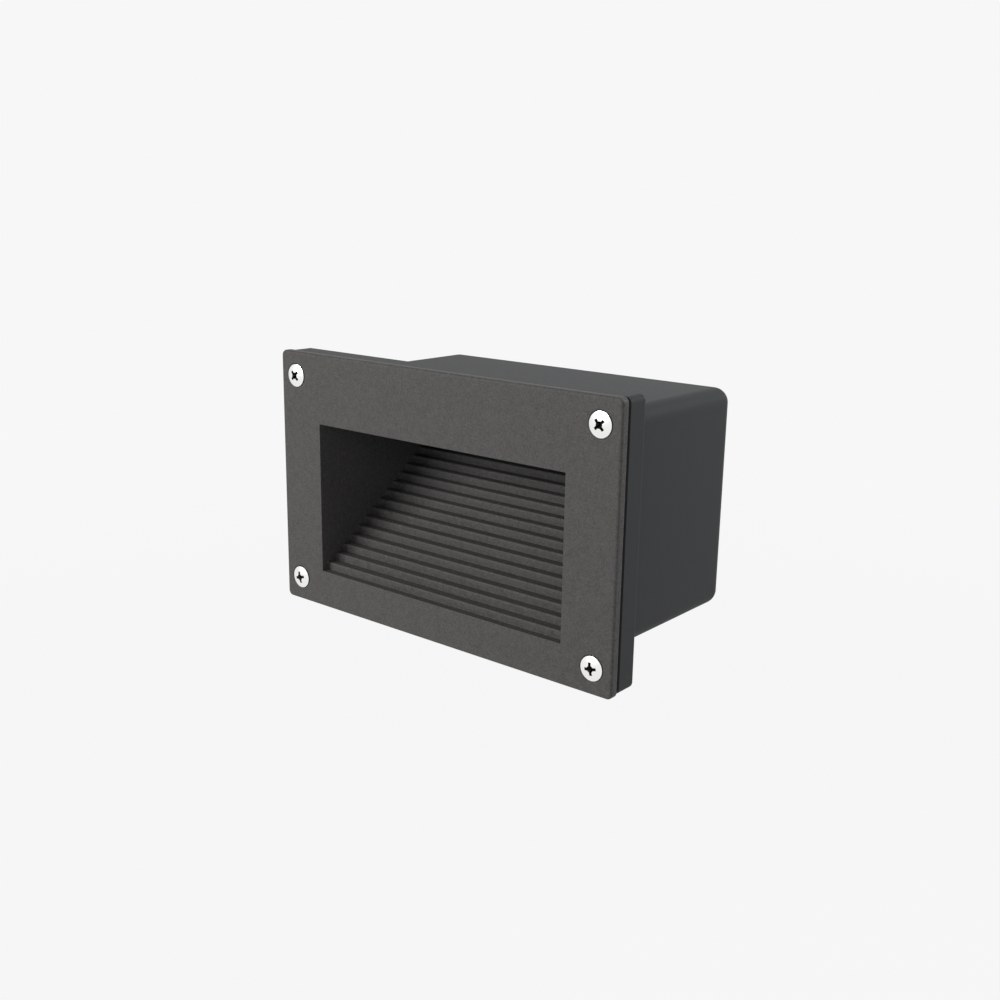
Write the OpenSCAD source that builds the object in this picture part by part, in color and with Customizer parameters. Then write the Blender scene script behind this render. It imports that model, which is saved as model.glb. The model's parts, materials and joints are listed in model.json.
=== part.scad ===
// Recessed step light: a die-cast hooded front unit screwed to a moulded back box.
// X runs across the plate, +Y runs into the wall, +Z is up.
// The origin is the centre of the collar's rear face, which lies on the wall.

/* [Face plate] */
// Width of the face plate
plate_w = 140; // [120:1:160]
// Height of the face plate
plate_h = 88; // [80:1:100]
// Thickness of the face plate
plate_t = 2.8; // [2.4:0.1:4]
// Corner radius of the face plate
plate_corner_r = 1.9; // [1.6:0.1:4]
// Radius of the rounded front edge of the face plate
plate_edge_r = 0.9; // [0.4:0.1:1.5]

/* [Light opening and stepped reflector] */
// Gap between a cheek of the hood and the side wall of the box
hood_gap = 4; // [3:0.5:6]
// Gap between the foot of the slope and the bottom wall of the box
foot_gap = 0.9; // [0.8:0.1:2]
// Depth of the flight of steps, into the wall
stair_d = 56; // [48:1:60]
// Number of steps on the slope
step_count = 16; // [12:1:18]
// Height of the recess above the top step
rear_gap_h = 9.7; // [6:0.1:14]
// Radius of the rounded nose of each step
nose_r = 0.45; // [0.2:0.05:0.8]
// Wall of the slope under the steps
slope_t = 2.4; // [1.8:0.1:2.8]
// Wall of the hood's side cheeks
cheek_t = 2; // [1.5:0.1:2.6]
// Wall of the hood's roof
roof_t = 2.4; // [1.8:0.1:2.6]
// Wall of the hood's rear
hood_rear_t = 2; // [1.5:0.1:3]

/* [Back box] */
// How far the collar's edge lies inside the plate's edge
collar_set = 0.3; // [0:0.1:2]
// Depth of the collar, which stands in front of the wall
collar_d = 7.6; // [7:0.1:12]
// How far the collar stands out past each side of the box
collar_lip_w = 9.7; // [8:0.1:12]
// How far the collar stands out above and below the box
collar_lip_h = 6.8; // [5:0.1:8]
// Corner radius of the collar
collar_corner_r = 2; // [2:0.5:6]
// Radius of the collar's rounded rear edge
collar_edge_r = 0.8; // [0.4:0.1:1.5]
// Wall round the pockets cored into the collar's rear
core_wall = 2; // [1.5:0.1:2.2]
// Thickness of the collar in front of those pockets
core_floor = 2.2; // [1.5:0.1:4]
// Thickness of a rib between two pockets
core_rib = 1.8; // [1:0.1:3]
// Depth of the box behind the wall's face
box_d = 67.5; // [62:0.5:85]
// Wall of the box
box_wall = 2.5; // [2:0.1:3]
// Radius of the box's corners and rear edges
box_edge_r = 5; // [3.5:0.5:8]
// Spacing of the two fixing holes in the rear wall
fixing_spacing = 80; // [60:1:84]
// Radius of a fixing hole
fixing_r = 2.25; // [2:0.05:2.75]
// Radius of the boss round a fixing hole
fixing_boss_r = 5; // [4:0.5:6]
// Height of that boss
fixing_boss_h = 2; // [1:0.5:4]
// How far the fixing holes lie below the inside of the box's top
fixing_drop = 12.4; // [8:0.1:16]

/* [Face screws] */
// Wall between a thread insert and the mouth of the box
screw_wall = 2.1; // [1.6:0.1:2.6]
// Distance of a face screw from the plate's top or bottom edge
screw_inset = 8.2; // [7.5:0.1:9]
// Radius of the screw's shank
screw_r = 2; // [1.5:0.1:2.2]
// Radius of the screw's head
screw_head_r = 3.8; // [3.6:0.1:4.4]
// Height of the head's dome above the plate
screw_dome_h = 0.8; // [0.5:0.1:1.2]
// Clearance of the head in its countersink
head_gap = 0.5; // [0.3:0.05:0.6]
// Outer radius of a thread insert
insert_r = 3.2; // [2.8:0.1:3.5]
// Thickness of the collar behind a thread insert
insert_floor = 1.7; // [1:0.1:2.5]

/* [Seals] */
// Thickness of the face gasket
gasket_t = 1.6; // [0.8:0.1:2]
// How far the gasket's edge lies inside the collar's edge
gasket_inset = 1.3; // [0.5:0.1:1.5]
// Width of the gasket's margin round the mouth of the box
gasket_margin = 1; // [0.5:0.1:1.2]

/* [Light chamber] */
// Distance from the opening's side to the end of the window in the roof
window_inset = 12.5; // [8:0.5:20]
// Width of the window
window_w = 12; // [9:0.5:13]
// How far the glass laps over each end of the window
glass_lap_l = 2; // [1.5:0.1:3]
// How far the glass laps over each long side of the window
glass_lap_w = 3; // [2:0.1:3.5]
// Thickness of the glass
glass_t = 3; // [2:0.1:3.5]
// Thickness of the silicone bed under the glass
bed_t = 0.8; // [0.5:0.1:1]
// Gap between the glass and the chamber's wall
glass_gap = 1; // [1:0.1:1.5]
// Gap between the glass and the light chips
chip_gap = 0.3; // [0.2:0.1:1]
// Wall of the light chamber
chamber_wall = 3; // [2.5:0.1:3.2]
// Gap between the face plate and the chamber's front lug
chamber_gap = 3.2; // [2:0.1:6]
// Gap between the chamber's lid and the box's top wall
lid_gap = 1.2; // [0.8:0.1:2]
// Radius of a lug that takes a lid screw
lug_r = 3.4; // [3:0.1:3.8]
// Thickness of the chamber's lid
lid_t = 2.4; // [1.8:0.1:2.8]
// Thickness of the lid's gasket
lid_gasket_t = 0.8; // [0.5:0.1:0.9]
// How far the lid's plug reaches down past its rim
lid_plug_h = 1.2; // [1:0.1:2]
// Thickness of the circuit board that carries the light chips
led_board_t = 1.6; // [1:0.1:1.6]
// Gap between the ends of that board and the chamber's wall
board_end_gap = 4; // [2:0.5:8]
// Gap between its long sides and the chamber's wall
board_side_gap = 3; // [2:0.5:5]
// Thickness of the thermal pad
pad_t = 0.5; // [0.3:0.1:0.5]
// Number of light chips
chip_count = 9; // [5:1:11]
// Side of a square light chip
chip_side = 3.2; // [2:0.1:3.5]
// Height of a light chip
chip_h = 0.5; // [0.3:0.1:0.5]

/* [Driver tray] */
// Thickness of the tray's sheet
tray_t = 1; // [0.8:0.1:1.5]
// Gap between the tray and the box's bottom wall
tray_drop_gap = 2.4; // [1:0.1:3]
// Gap between the tray and the box's rear wall
tray_rear_gap = 4; // [2:0.5:8]
// Distance from the face plate to the tray's front edge
tray_set = 32.2; // [30:0.1:36]
// Height of the tray's side ears
ear_h = 12; // [10:0.5:13]
// Depth of an ear
ear_d = 17; // [15:0.5:18]
// Gap between the driver's case and the slope above its front edge
driver_headroom = 5.1; // [4:0.1:8]
// Gap between an ear of the tray and the driver's end
driver_end_gap = 6.4; // [5:0.1:8]
// Wall of the driver's case
driver_wall = 1.6; // [1.2:0.1:2]
// Pitch of the poles of the terminal block
pole_pitch = 6; // [5:0.1:6.2]
// Depth of the terminal block, front to rear
block_d = 16; // [14:0.5:18]
// Height of the terminal block
block_h = 12; // [10:0.5:14]
// Gap between an ear of the tray and the terminal block
block_end_gap = 5.4; // [4:0.1:8]
// Room for the supply leads in front of the terminal block
supply_room = 9; // [8:0.5:12]

/* [Cable gland] */
// Radius of the gland's thread
gland_r = 8; // [6:0.1:8.5]
// Distance across the flats of the gland's hexagons
gland_flats = 20; // [18:0.5:21]
// Length of the gland's thread inside the box
gland_tail_l = 6; // [5:0.5:6.5]
// Radius of the bore for the cable
cable_bore_r = 3.6; // [2.5:0.1:4]
// Length of the rubber seal that grips the cable
seal_l = 9; // [6:0.5:10]
// How far the gland lies to the right of the centre
gland_x = 30; // [0:1:32]
// How far the gland lies above the centre
gland_z = 2; // [0:0.5:4]

/* [Hidden] */
$fn = 64;
// Overrun of every cut
over = 1;
// Clearance of a screw or an insert in its own hole
fit_gap = 0.08;
// Clearance round the screws where they pass through freely
free_gap = 0.3;
// Radius of the small corners of inner pieces
small_r = 1;

plate_back = -(collar_d + gasket_t);
plate_front = plate_back - plate_t;
collar_front = -collar_d;
collar_w = plate_w - 2 * collar_set;
collar_h = plate_h - 2 * collar_set;

box_w = collar_w - 2 * collar_lip_w;
box_h = collar_h - 2 * collar_lip_h;
mouth_w = box_w - 2 * box_wall;
mouth_h = box_h - 2 * box_wall;
box_inner_rear = box_d - box_wall;
box_inner_r = box_edge_r - box_wall;
fixing_z = mouth_h / 2 - fixing_drop;
// Step between the box's side and the collar's pockets
core_step = 0.5;
core_side_count = 3;
core_end_count = 4;

screw_x = mouth_w / 2 + screw_wall + insert_r;
screw_z = plate_h / 2 - screw_inset;
face_screw_places = [[-screw_x, screw_z], [screw_x, screw_z], [screw_x, -screw_z], [-screw_x, -screw_z]];
insert_sink = 0.5;
insert_front = collar_front + insert_sink;
insert_l = collar_d - insert_sink - insert_floor;
tip_gap = 0.3;
screw_l = plate_t + gasket_t + insert_sink + insert_l - tip_gap;
screw_hole_r = screw_r + free_gap;
recess_arm_share = 0.6;
recess_width_share = 0.28;
recess_depth_share = 0.5;
// Turn of each screw's cross recess
screw_turns = [45, 42, 10, 15];
ring_section_r = gasket_t / 2;
ring_seat_r = screw_r + 2 * ring_section_r + 2 * fit_gap;

// The hood hangs between the box's walls: the chamber on top, the foot of the slope below
hood_half_w = mouth_w / 2 - hood_gap;
opening_w = 2 * (hood_half_w - cheek_t);
lid_top = mouth_h / 2 - lid_gap;
lid_bottom = lid_top - lid_t;
rim_top = lid_bottom - lid_gasket_t;
pad_bottom = lid_bottom - lid_plug_h - pad_t;
led_board_bottom = pad_bottom - led_board_t;
chamber_h = bed_t + glass_t + chip_gap + chip_h + led_board_t + pad_t + lid_plug_h - lid_gasket_t;
roof_top = rim_top - chamber_h;
opening_top = roof_top - roof_t;
opening_low = foot_gap + slope_t - mouth_h / 2;
opening_h = opening_top - opening_low;
step_run = stair_d / step_count;
step_rise = (opening_h - rear_gap_h) / step_count;
slope = step_rise / step_run;
stair_rear = plate_back + stair_d;
stair_top = opening_top - rear_gap_h;
hood_rear = stair_rear + hood_rear_t;
nose_points = 4;
function underside(y) = opening_low - slope_t + (y - plate_back) * slope;

// The spigot on the plate's rear face that centres it in the mouth of the box
spigot_d = 2.4;
spigot_t = 1.5;
spigot_gap = 0.7;
spigot_w = mouth_w - 2 * spigot_gap;
spigot_h = mouth_h - 2 * spigot_gap;

window_l = opening_w - 2 * window_inset;
glass_l = window_l + 2 * glass_lap_l;
glass_w = window_w + 2 * glass_lap_w;
pocket_l = glass_l + 2 * glass_gap;
pocket_w = glass_w + 2 * glass_gap;
chamber_l = pocket_l + 2 * chamber_wall;
chamber_w = pocket_w + 2 * chamber_wall;
chamber_r = 3;
lug_reach = 1.6;
chamber_y = plate_back + chamber_gap + lug_r + lug_reach + chamber_w / 2;
lid_screw_r = 1.5;
lid_head_r = 2.7;
lid_screw_l = 7;
lug_places = [
    for (side = [-1, 1], row = [-1, 1]) [side * (chamber_l / 2 + lug_reach), chamber_y + row * chamber_w / 4],
    for (row = [-1, 1]) [0, chamber_y + row * (chamber_w / 2 + lug_reach)]
];
plug_gap = 0.6;
bed_margin = 0.75;
led_board_l = pocket_l - 2 * board_end_gap;
led_board_w = pocket_w - 2 * board_side_gap;

grommet_waist_r = 1.7;
grommet_flange_r = 2.3;
grommet_flange_t = 1;
grommet_inset = 12;
grommet_x = grommet_inset - pocket_l / 2;
grommet_z = lid_bottom - lid_plug_h - grommet_flange_r - fit_gap;

tray_top = tray_drop_gap + tray_t - mouth_h / 2;
tray_gap = 0.1;
tray_w = opening_w - 2 * tray_gap;
tray_front = plate_back + tray_set;
tray_d = box_inner_rear - tray_rear_gap - tray_front;
tray_screw_r = 1.5;
tray_head_r = 2.6;
tray_head_h = 1.7;
tray_screw_l = 5;
ear_margin = 3;
ear_front = tray_front + ear_margin;
ear_screw_places = [ear_front + ear_d / 4, ear_front + ear_d * 3 / 4];
ear_screw_share = 0.62;
ear_screw_z = tray_top + ear_h * ear_screw_share;

// The cheeks reach down below the slope to carry the tray
skirt_reach = 17;
skirt_rise = 2;
skirt_lead = 4;
skirt_front = tray_front - skirt_reach;
skirt_rear = ear_front + ear_d + ear_margin;
skirt_low = tray_top + skirt_rise;

pole_count = 3;
block_l = pole_pitch * pole_count;
block_gap = 1;
ear_inner = tray_w / 2 - tray_t;
driver_corner_r = 2;
driver_lug_l = 6;
driver_lug_w = 12;
driver_lug_t = 2.2;
driver_lid_t = 2;
driver_front_gap = 2;
driver_rear_gap = 4;
driver_l = 2 * ear_inner - driver_end_gap - 2 * driver_lug_l - block_gap - block_l - block_end_gap;
driver_w = tray_d - driver_front_gap - driver_rear_gap;
driver_front = tray_front + driver_front_gap;
driver_h = underside(driver_front) - driver_headroom - tray_top;
driver_x = driver_end_gap + driver_lug_l + driver_l / 2 - ear_inner;
driver_y = driver_front + driver_w / 2;
driver_case_h = driver_h - driver_lid_t;
driver_inner_l = driver_l - 2 * driver_wall;
driver_inner_w = driver_w - 2 * driver_wall;
driver_inner_h = driver_case_h - driver_lid_t - driver_wall;
driver_lip_gap = 0.1;
driver_board_t = 1.6;
driver_board_gap = 1;
post_height_share = 0.24;
coil_height_share = 0.55;
post_place_shares = [0.42, 0.38];
post_h = driver_inner_h * post_height_share;
module_screw_past = 0.5;
module_screw_places = [
    for (side = [-1, 1]) [driver_x + side * (driver_l + driver_lug_l) / 2, driver_y, tray_top + driver_lug_t]
];

block_x = ear_inner - block_end_gap - block_l / 2;
block_front = driver_front + supply_room;
block_y = block_front + block_d / 2;
block_base_share = 0.72;
bore_height_share = 0.4;
pole_bore_r = 1.9;
pole_bore_z = tray_top + block_h * bore_height_share;
clamp_rows = [-block_d / 4, block_d / 4];
clamp_screw_r = 1.1;
clamp_head_r = 1.6;
barrel_wall = 0.5;
barrel_set = 1;
barrel_bore_r = pole_bore_r - barrel_wall - fit_gap;

lead_r = 0.5;
supply_lead_r = 0.75;
lead_sides = 8;
lead_spacing = 1.5;
lead_bend = 3;
// Length of a lead inside a terminal, and the straight length at its ends
lead_grip = 1;
// Gap between a lead and what it runs along
lead_room = 2;
lead_drop_share = 0.7;

earth_set = 6;
earth_y = tray_front - earth_set;
earth_z = (underside(earth_y) + skirt_low) / 2;
earth_screw_r = 1.75;
earth_head_r = 3.2;
earth_head_h = 2;
earth_boss_t = 2;
tag_t = 0.8;
tag_r = 3.4;
tag_x = hood_half_w - cheek_t - earth_boss_t;

washer_t = 1;
hex_t = 5;
locknut_t = 4;
neck_l = 8;
neck_step = 0.6;
gland_wall = 2;
nut_l = 14;
nut_lip = 0.6;
dome_rise = 4;
seal_gap = 0.1;
hole_gap = 0.2;
neck_r = gland_r - neck_step;
gland_bore_r = gland_r - gland_wall;
gland_hole_r = gland_r + hole_gap;
hex_front = box_d + washer_t;
nut_front = hex_front + hex_t + free_gap;
nut_bore_r = neck_r + fit_gap;
seal_r = gland_bore_r - seal_gap;
seal_front = hex_front + hex_t + neck_l - seal_l;
dome_hole_r = cable_bore_r + nut_lip;

z_axis = [0, 0, 1];
casting_grey = [0.32, 0.32, 0.32];
box_black = [0.17, 0.175, 0.175];
steel_bright = [0.86, 0.86, 0.85];
steel_dull = [0.6, 0.61, 0.62];
brass_yellow = [0.78, 0.62, 0.28];
silicone_black = [0.09, 0.09, 0.09];
silicone_white = [0.86, 0.86, 0.84];
case_white = [0.93, 0.93, 0.91];

// Flat shapes

module rounded_rect(w, h, r) {
    square([w - 2 * r, h], center = true);
    square([w, h - 2 * r], center = true);
    for (x = [-1, 1], y = [-1, 1]) translate([x * (w / 2 - r), y * (h / 2 - r)]) circle(r);
}

// Solid section with its front outer edge rounded: x runs outwards, y runs to the rear
module front_round_section(reach, depth, r) {
    translate([0, r]) square([reach, depth - r]);
    square([reach - r, depth]);
    translate([reach - r, r]) circle(r);
}

// The same with its rear outer edge rounded
module rear_round_section(reach, depth, r) {
    square([reach, depth - r]);
    square([reach - r, depth]);
    translate([reach - r, depth - r]) circle(r);
}

// Quarter-round end of a box whose corners and rear edges share one radius
module rear_quarter_section(depth, r) {
    square([r, depth - r]);
    intersection() {
        translate([0, depth - r]) circle(r);
        translate([0, depth - r]) square(r);
    }
}

// Placing

// A flat shape in X and Z made solid from y0 to y0 + depth
module slab_y(y0, depth) {
    translate([0, y0 + depth, 0]) rotate([90, 0, 0]) linear_extrude(depth) children();
}

// A flat shape in Y and Z made solid across X, centred
module slab_x(width) {
    rotate([90, 0, 90]) linear_extrude(width, center = true) children();
}

// A flat shape in X and Y made solid from z0 to z0 + height
module slab_z(z0, height) {
    translate([0, 0, z0]) linear_extrude(height) children();
}

// A round bar along Y
module rod_y(x, y0, z, r, length) {
    translate([x, y0, z]) rotate([-90, 0, 0]) cylinder(r = r, h = length);
}

// A section carried round a rounded rectangle, with the middle filled to the given depth
module swept_block(w, h, r, depth) {
    for (side = [0 : 3]) {
        straight = (side % 2 == 0 ? h : w) - 2 * r;
        reach = (side % 2 == 0 ? w : h) / 2 - r;
        rotate([0, -90 * side, 0]) translate([reach, 0, 0]) {
            translate([0, 0, -straight / 2]) linear_extrude(straight) children();
            translate([0, 0, straight / 2]) rotate([90, 0, 0]) mirror([0, 0, 1]) rotate_extrude(angle = 90) children();
        }
    }
    translate([r - w / 2, 0, r - h / 2]) cube([w - 2 * r, depth, h - 2 * r]);
}

// A tube along a list of points. It starts level, and each ring carries on the turn of the one before.
function unit(v) = v / norm(v);
function heading(path, i) = unit(path[min(i + 1, len(path) - 1)] - path[max(i - 1, 0)]);
function carried_side(path, i) =
    let (before = i == 0 ? z_axis : carried_side(path, i - 1), ahead = heading(path, i))
        unit(before - (before * ahead) * ahead);
function ring(path, i, r) =
    let (side = carried_side(path, i), other = cross(side, heading(path, i)))
        [for (s = [0 : lead_sides - 1]) let (a = -s * 360 / lead_sides) path[i] + r * (cos(a) * side + sin(a) * other)];

// Points of a smooth curve through the route's own points
function curve_point(a, b, c, d, t) =
    0.5 * (2 * b + (c - a) * t + (2 * a - 5 * b + 4 * c - d) * t * t + (3 * b - a - 3 * c + d) * t * t * t);
function smooth(route, cuts) = concat(
    [for (i = [0 : len(route) - 2], k = [0 : cuts - 1])
        curve_point(route[max(i - 1, 0)], route[i], route[i + 1], route[min(i + 2, len(route) - 1)], k / cuts)],
    [route[len(route) - 1]]
);

module tube(route, r) {
    path = smooth(route, 2);
    count = len(path);
    points = [for (i = [0 : count - 1]) each ring(path, i, r)];
    sides = [
        for (i = [0 : count - 2], s = [0 : lead_sides - 1])
            let (next = (s + 1) % lead_sides)
                [i * lead_sides + s, i * lead_sides + next, (i + 1) * lead_sides + next, (i + 1) * lead_sides + s]
    ];
    start = [for (s = [0 : lead_sides - 1]) lead_sides - 1 - s];
    end = [for (s = [0 : lead_sides - 1]) (count - 1) * lead_sides + s];
    polyhedron(points, concat([start], sides, [end]), convexity = 4);
}

// Fasteners

// Cross recess, cut downwards from z = 0
module cross_recess(head_r, depth, turn) {
    arm = head_r * 2 * recess_arm_share;
    width = head_r * recess_width_share;
    rotate([0, 0, turn]) for (a = [0, 90]) rotate([0, 0, a]) {
        translate([-arm / 2, -width / 2, -depth]) cube([arm, width, depth + over]);
    }
}

// Pan-head screw: the head stands on z = 0 and the shank runs down
module pan_screw(r, length, head_r, head_h) {
    difference() {
        union() {
            translate([0, 0, -length]) cylinder(r = r, h = length);
            rotate_extrude() {
                square([head_r, head_h / 2]);
                intersection() {
                    translate([0, head_h / 2]) square([head_r, head_h / 2]);
                    translate([head_r - head_h / 2, head_h / 2]) circle(head_h / 2);
                }
                square([head_r - head_h / 2, head_h]);
            }
        }
        translate([0, 0, head_h]) cross_recess(head_r, head_h * recess_depth_share, 0);
    }
}

// Countersunk screw: its flat top is at z = 0
module flat_screw(r, length, head_r) {
    difference() {
        union() {
            translate([0, 0, -length]) cylinder(r = r, h = length);
            translate([0, 0, r - head_r]) cylinder(r1 = r, r2 = head_r, h = head_r - r);
        }
        cross_recess(head_r, head_r * recess_depth_share, 0);
    }
}

// The hooded casting

function nose_arc(y, z) = [
    for (k = [0 : nose_points])
        let (a = 180 - k * 90 / nose_points) [y + nose_r + nose_r * cos(a), z - nose_r + nose_r * sin(a)]
];

// Side view of the light recess, with the flight of steps along its bottom
module recess_outline() {
    steps = [
        for (i = [0 : step_count - 1])
            let (y = plate_back + i * step_run, z = opening_low + i * step_rise)
                each concat([[y, z]], nose_arc(y, z + step_rise))
    ];
    polygon(concat(
        [[plate_front - over, opening_low]],
        steps,
        [[stair_rear, stair_top], [stair_rear, opening_top], [plate_front - over, opening_top]]
    ));
}

module hood_outline() {
    polygon([
        [plate_back, underside(plate_back)],
        [hood_rear, underside(hood_rear)],
        [hood_rear, roof_top],
        [plate_back, roof_top]
    ]);
}

// The part of each cheek that hangs below the slope
module skirt_outline() {
    polygon([
        [skirt_front, underside(skirt_front)],
        [skirt_front + skirt_lead, skirt_low],
        [skirt_rear - skirt_lead, skirt_low],
        [skirt_rear, skirt_low + skirt_lead],
        [skirt_rear, underside(skirt_rear)]
    ]);
}

module hood() {
    slab_x(2 * hood_half_w) hood_outline();
    for (side = [-1, 1]) translate([side * (opening_w + cheek_t) / 2, 0, 0]) slab_x(cheek_t) skirt_outline();
}

module face_plate_blank() {
    translate([0, plate_front, 0]) swept_block(plate_w, plate_h, plate_corner_r, plate_t)
        front_round_section(plate_corner_r, plate_t, plate_edge_r);
}

module spigot() {
    slab_y(plate_back, spigot_d) difference() {
        rounded_rect(spigot_w, spigot_h, box_inner_r);
        rounded_rect(spigot_w - 2 * spigot_t, spigot_h - 2 * spigot_t, box_inner_r / 2);
    }
}

module chamber_outline() {
    translate([0, chamber_y]) rounded_rect(chamber_l, chamber_w, chamber_r);
    for (p = lug_places) translate(p) circle(lug_r);
}

module face_casting() {
    color(casting_grey) difference() {
        union() {
            face_plate_blank();
            spigot();
            hood();
            slab_z(roof_top, chamber_h) chamber_outline();
            translate([tag_x, earth_y, earth_z]) rotate([0, 90, 0]) cylinder(r = tag_r, h = earth_boss_t + cheek_t);
        }
        slab_x(opening_w) recess_outline();
        slab_z(roof_top, chamber_h + over) translate([0, chamber_y]) rounded_rect(pocket_l, pocket_w, small_r);
        slab_z(opening_top - over, roof_t + 2 * over) translate([0, chamber_y])
            rounded_rect(window_l, window_w, window_w / 4);
        for (p = lug_places) translate([p[0], p[1], rim_top - lid_screw_l])
            cylinder(r = lid_screw_r + fit_gap, h = lid_screw_l + over);
        rod_y(grommet_x, chamber_y, grommet_z, grommet_waist_r + fit_gap, chamber_w);
        for (p = face_screw_places) translate([p[0], plate_front, p[1]]) rotate([-90, 0, 0]) {
            cylinder(r = screw_hole_r, h = plate_t + over);
            cylinder(r1 = screw_head_r + head_gap, r2 = screw_hole_r, h = screw_head_r - screw_r);
        }
        for (side = [-1, 1], y = ear_screw_places) translate([side * hood_half_w, y, ear_screw_z]) rotate([0, 90, 0])
            cylinder(r = tray_screw_r + free_gap, h = 4 * cheek_t, center = true);
        translate([tag_x - over, earth_y, earth_z]) rotate([0, 90, 0])
            cylinder(r = earth_screw_r + fit_gap, h = earth_boss_t + cheek_t + 2 * over);
    }
}

// The face screws turn on their own axes and stay with the front unit

module face_screw(index) {
    place = face_screw_places[index];
    dome_r = (screw_head_r * screw_head_r + screw_dome_h * screw_dome_h) / (2 * screw_dome_h);
    color(steel_bright) translate([place[0], plate_front, place[1]]) rotate([-90, 0, 0]) difference() {
        union() {
            cylinder(r = screw_r, h = screw_l);
            cylinder(r1 = screw_head_r, r2 = screw_r, h = screw_head_r - screw_r);
            intersection() {
                translate([0, 0, dome_r - screw_dome_h]) sphere(dome_r);
                translate([0, 0, -screw_dome_h]) cylinder(r = screw_head_r, h = screw_dome_h);
            }
        }
        translate([0, 0, -screw_dome_h]) rotate([180, 0, 0])
            cross_recess(screw_head_r, screw_head_r * recess_depth_share, screw_turns[index]);
    }
}

module screw_seals() {
    color(silicone_black) for (p = face_screw_places) translate([p[0], plate_back + gasket_t / 2, p[1]])
        rotate([90, 0, 0]) rotate_extrude() translate([screw_r + ring_section_r + fit_gap, 0]) circle(ring_section_r);
}

module face_gasket() {
    color(silicone_black) slab_y(plate_back, gasket_t) difference() {
        rounded_rect(collar_w - 2 * gasket_inset, collar_h - 2 * gasket_inset, collar_corner_r - gasket_inset);
        rounded_rect(mouth_w + 2 * gasket_margin, mouth_h + 2 * gasket_margin, box_inner_r + gasket_margin);
        for (p = face_screw_places) translate(p) circle(ring_seat_r);
    }
}

// The back box

// A row of equal pockets with a rib between each two
module core_row(length, height, count) {
    pitch = (length + core_rib) / count;
    for (i = [0 : count - 1]) translate([(i - (count - 1) / 2) * pitch, 0])
        rounded_rect(pitch - core_rib, height, small_r);
}

module collar_cores() {
    side_depth = collar_lip_w - core_step - core_wall;
    end_depth = collar_lip_h - core_step - core_wall;
    side_row = 2 * (screw_z - insert_r - core_wall);
    end_row = 2 * (screw_x - insert_r - core_wall);
    slab_y(core_floor - collar_d, collar_d - core_floor + over) for (side = [-1, 1]) {
        translate([side * (box_w / 2 + core_step + side_depth / 2), 0]) rotate(90)
            core_row(side_row, side_depth, core_side_count);
        translate([0, side * (box_h / 2 + core_step + end_depth / 2)])
            core_row(end_row, end_depth, core_end_count);
    }
}

module back_box() {
    color(box_black) difference() {
        union() {
            translate([0, collar_front, 0]) swept_block(collar_w, collar_h, collar_corner_r, collar_d)
                rear_round_section(collar_corner_r, collar_d, collar_edge_r);
            translate([0, collar_front, 0]) swept_block(box_w, box_h, box_edge_r, box_d + collar_d)
                rear_quarter_section(box_d + collar_d, box_edge_r);
        }
        difference() {
            translate([0, collar_front - over, 0])
                swept_block(mouth_w, mouth_h, box_inner_r, box_inner_rear - collar_front + over)
                    rear_quarter_section(box_inner_rear - collar_front + over, box_inner_r);
            for (side = [-1, 1]) rod_y(
                side * fixing_spacing / 2, box_inner_rear - fixing_boss_h, fixing_z,
                fixing_boss_r, fixing_boss_h + over
            );
        }
        for (side = [-1, 1]) rod_y(
            side * fixing_spacing / 2, box_inner_rear - fixing_boss_h - over, fixing_z,
            fixing_r, box_wall + fixing_boss_h + 2 * over
        );
        rod_y(gland_x, box_inner_rear - over, gland_z, gland_hole_r, box_wall + 2 * over);
        for (p = face_screw_places) rod_y(
            p[0], collar_front - over, p[1], insert_r + fit_gap, insert_sink + insert_l + over
        );
        collar_cores();
    }
}

module thread_inserts() {
    color(brass_yellow) for (p = face_screw_places) difference() {
        rod_y(p[0], insert_front, p[1], insert_r, insert_l);
        rod_y(p[0], insert_front - over, p[1], screw_r + fit_gap, insert_l + 2 * over);
    }
}

// The cable gland

module hexagon(flats) {
    circle(r = flats / sqrt(3), $fn = 6);
}

module gland_place(y0) {
    translate([gland_x, y0, gland_z]) rotate([-90, 0, 0]) children();
}

module gland_body() {
    hex_z = gland_tail_l + box_wall + washer_t;
    color(silicone_black) gland_place(box_inner_rear - gland_tail_l) difference() {
        union() {
            cylinder(r = gland_r, h = hex_z);
            translate([0, 0, hex_z]) linear_extrude(hex_t) hexagon(gland_flats);
            translate([0, 0, hex_z + hex_t]) cylinder(r = neck_r, h = neck_l);
        }
        translate([0, 0, -over]) cylinder(r = cable_bore_r + 2 * seal_gap, h = hex_z + hex_t + neck_l);
        translate([0, 0, hex_z + hex_t + neck_l - seal_l]) cylinder(r = gland_bore_r, h = seal_l + over);
    }
}

module gland_washer() {
    color(silicone_black) gland_place(box_d) linear_extrude(washer_t) difference() {
        circle(r = gland_flats / 2);
        circle(r = gland_r + fit_gap);
    }
}

module gland_locknut() {
    color(silicone_black) gland_place(box_inner_rear - locknut_t) linear_extrude(locknut_t) difference() {
        hexagon(gland_flats);
        circle(r = gland_r + fit_gap);
    }
}

module gland_seal() {
    color(silicone_black) gland_place(seal_front) linear_extrude(seal_l) difference() {
        circle(r = seal_r);
        circle(r = cable_bore_r);
    }
}

module gland_nut() {
    color(silicone_black) gland_place(nut_front) difference() {
        union() {
            linear_extrude(nut_l / 2) hexagon(gland_flats);
            translate([0, 0, nut_l / 2]) rotate_extrude() {
                square([gland_flats / 2 - dome_rise, nut_l / 2]);
                square([gland_flats / 2, nut_l / 2 - dome_rise]);
                intersection() {
                    translate([gland_flats / 2 - dome_rise, nut_l / 2 - dome_rise]) circle(dome_rise);
                    translate([gland_flats / 2 - dome_rise, nut_l / 2 - dome_rise]) square(dome_rise);
                }
            }
        }
        translate([0, 0, -over]) cylinder(r = nut_bore_r, h = neck_l + over);
        cylinder(r = dome_hole_r, h = nut_l + over);
    }
}

// The light chamber

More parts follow.
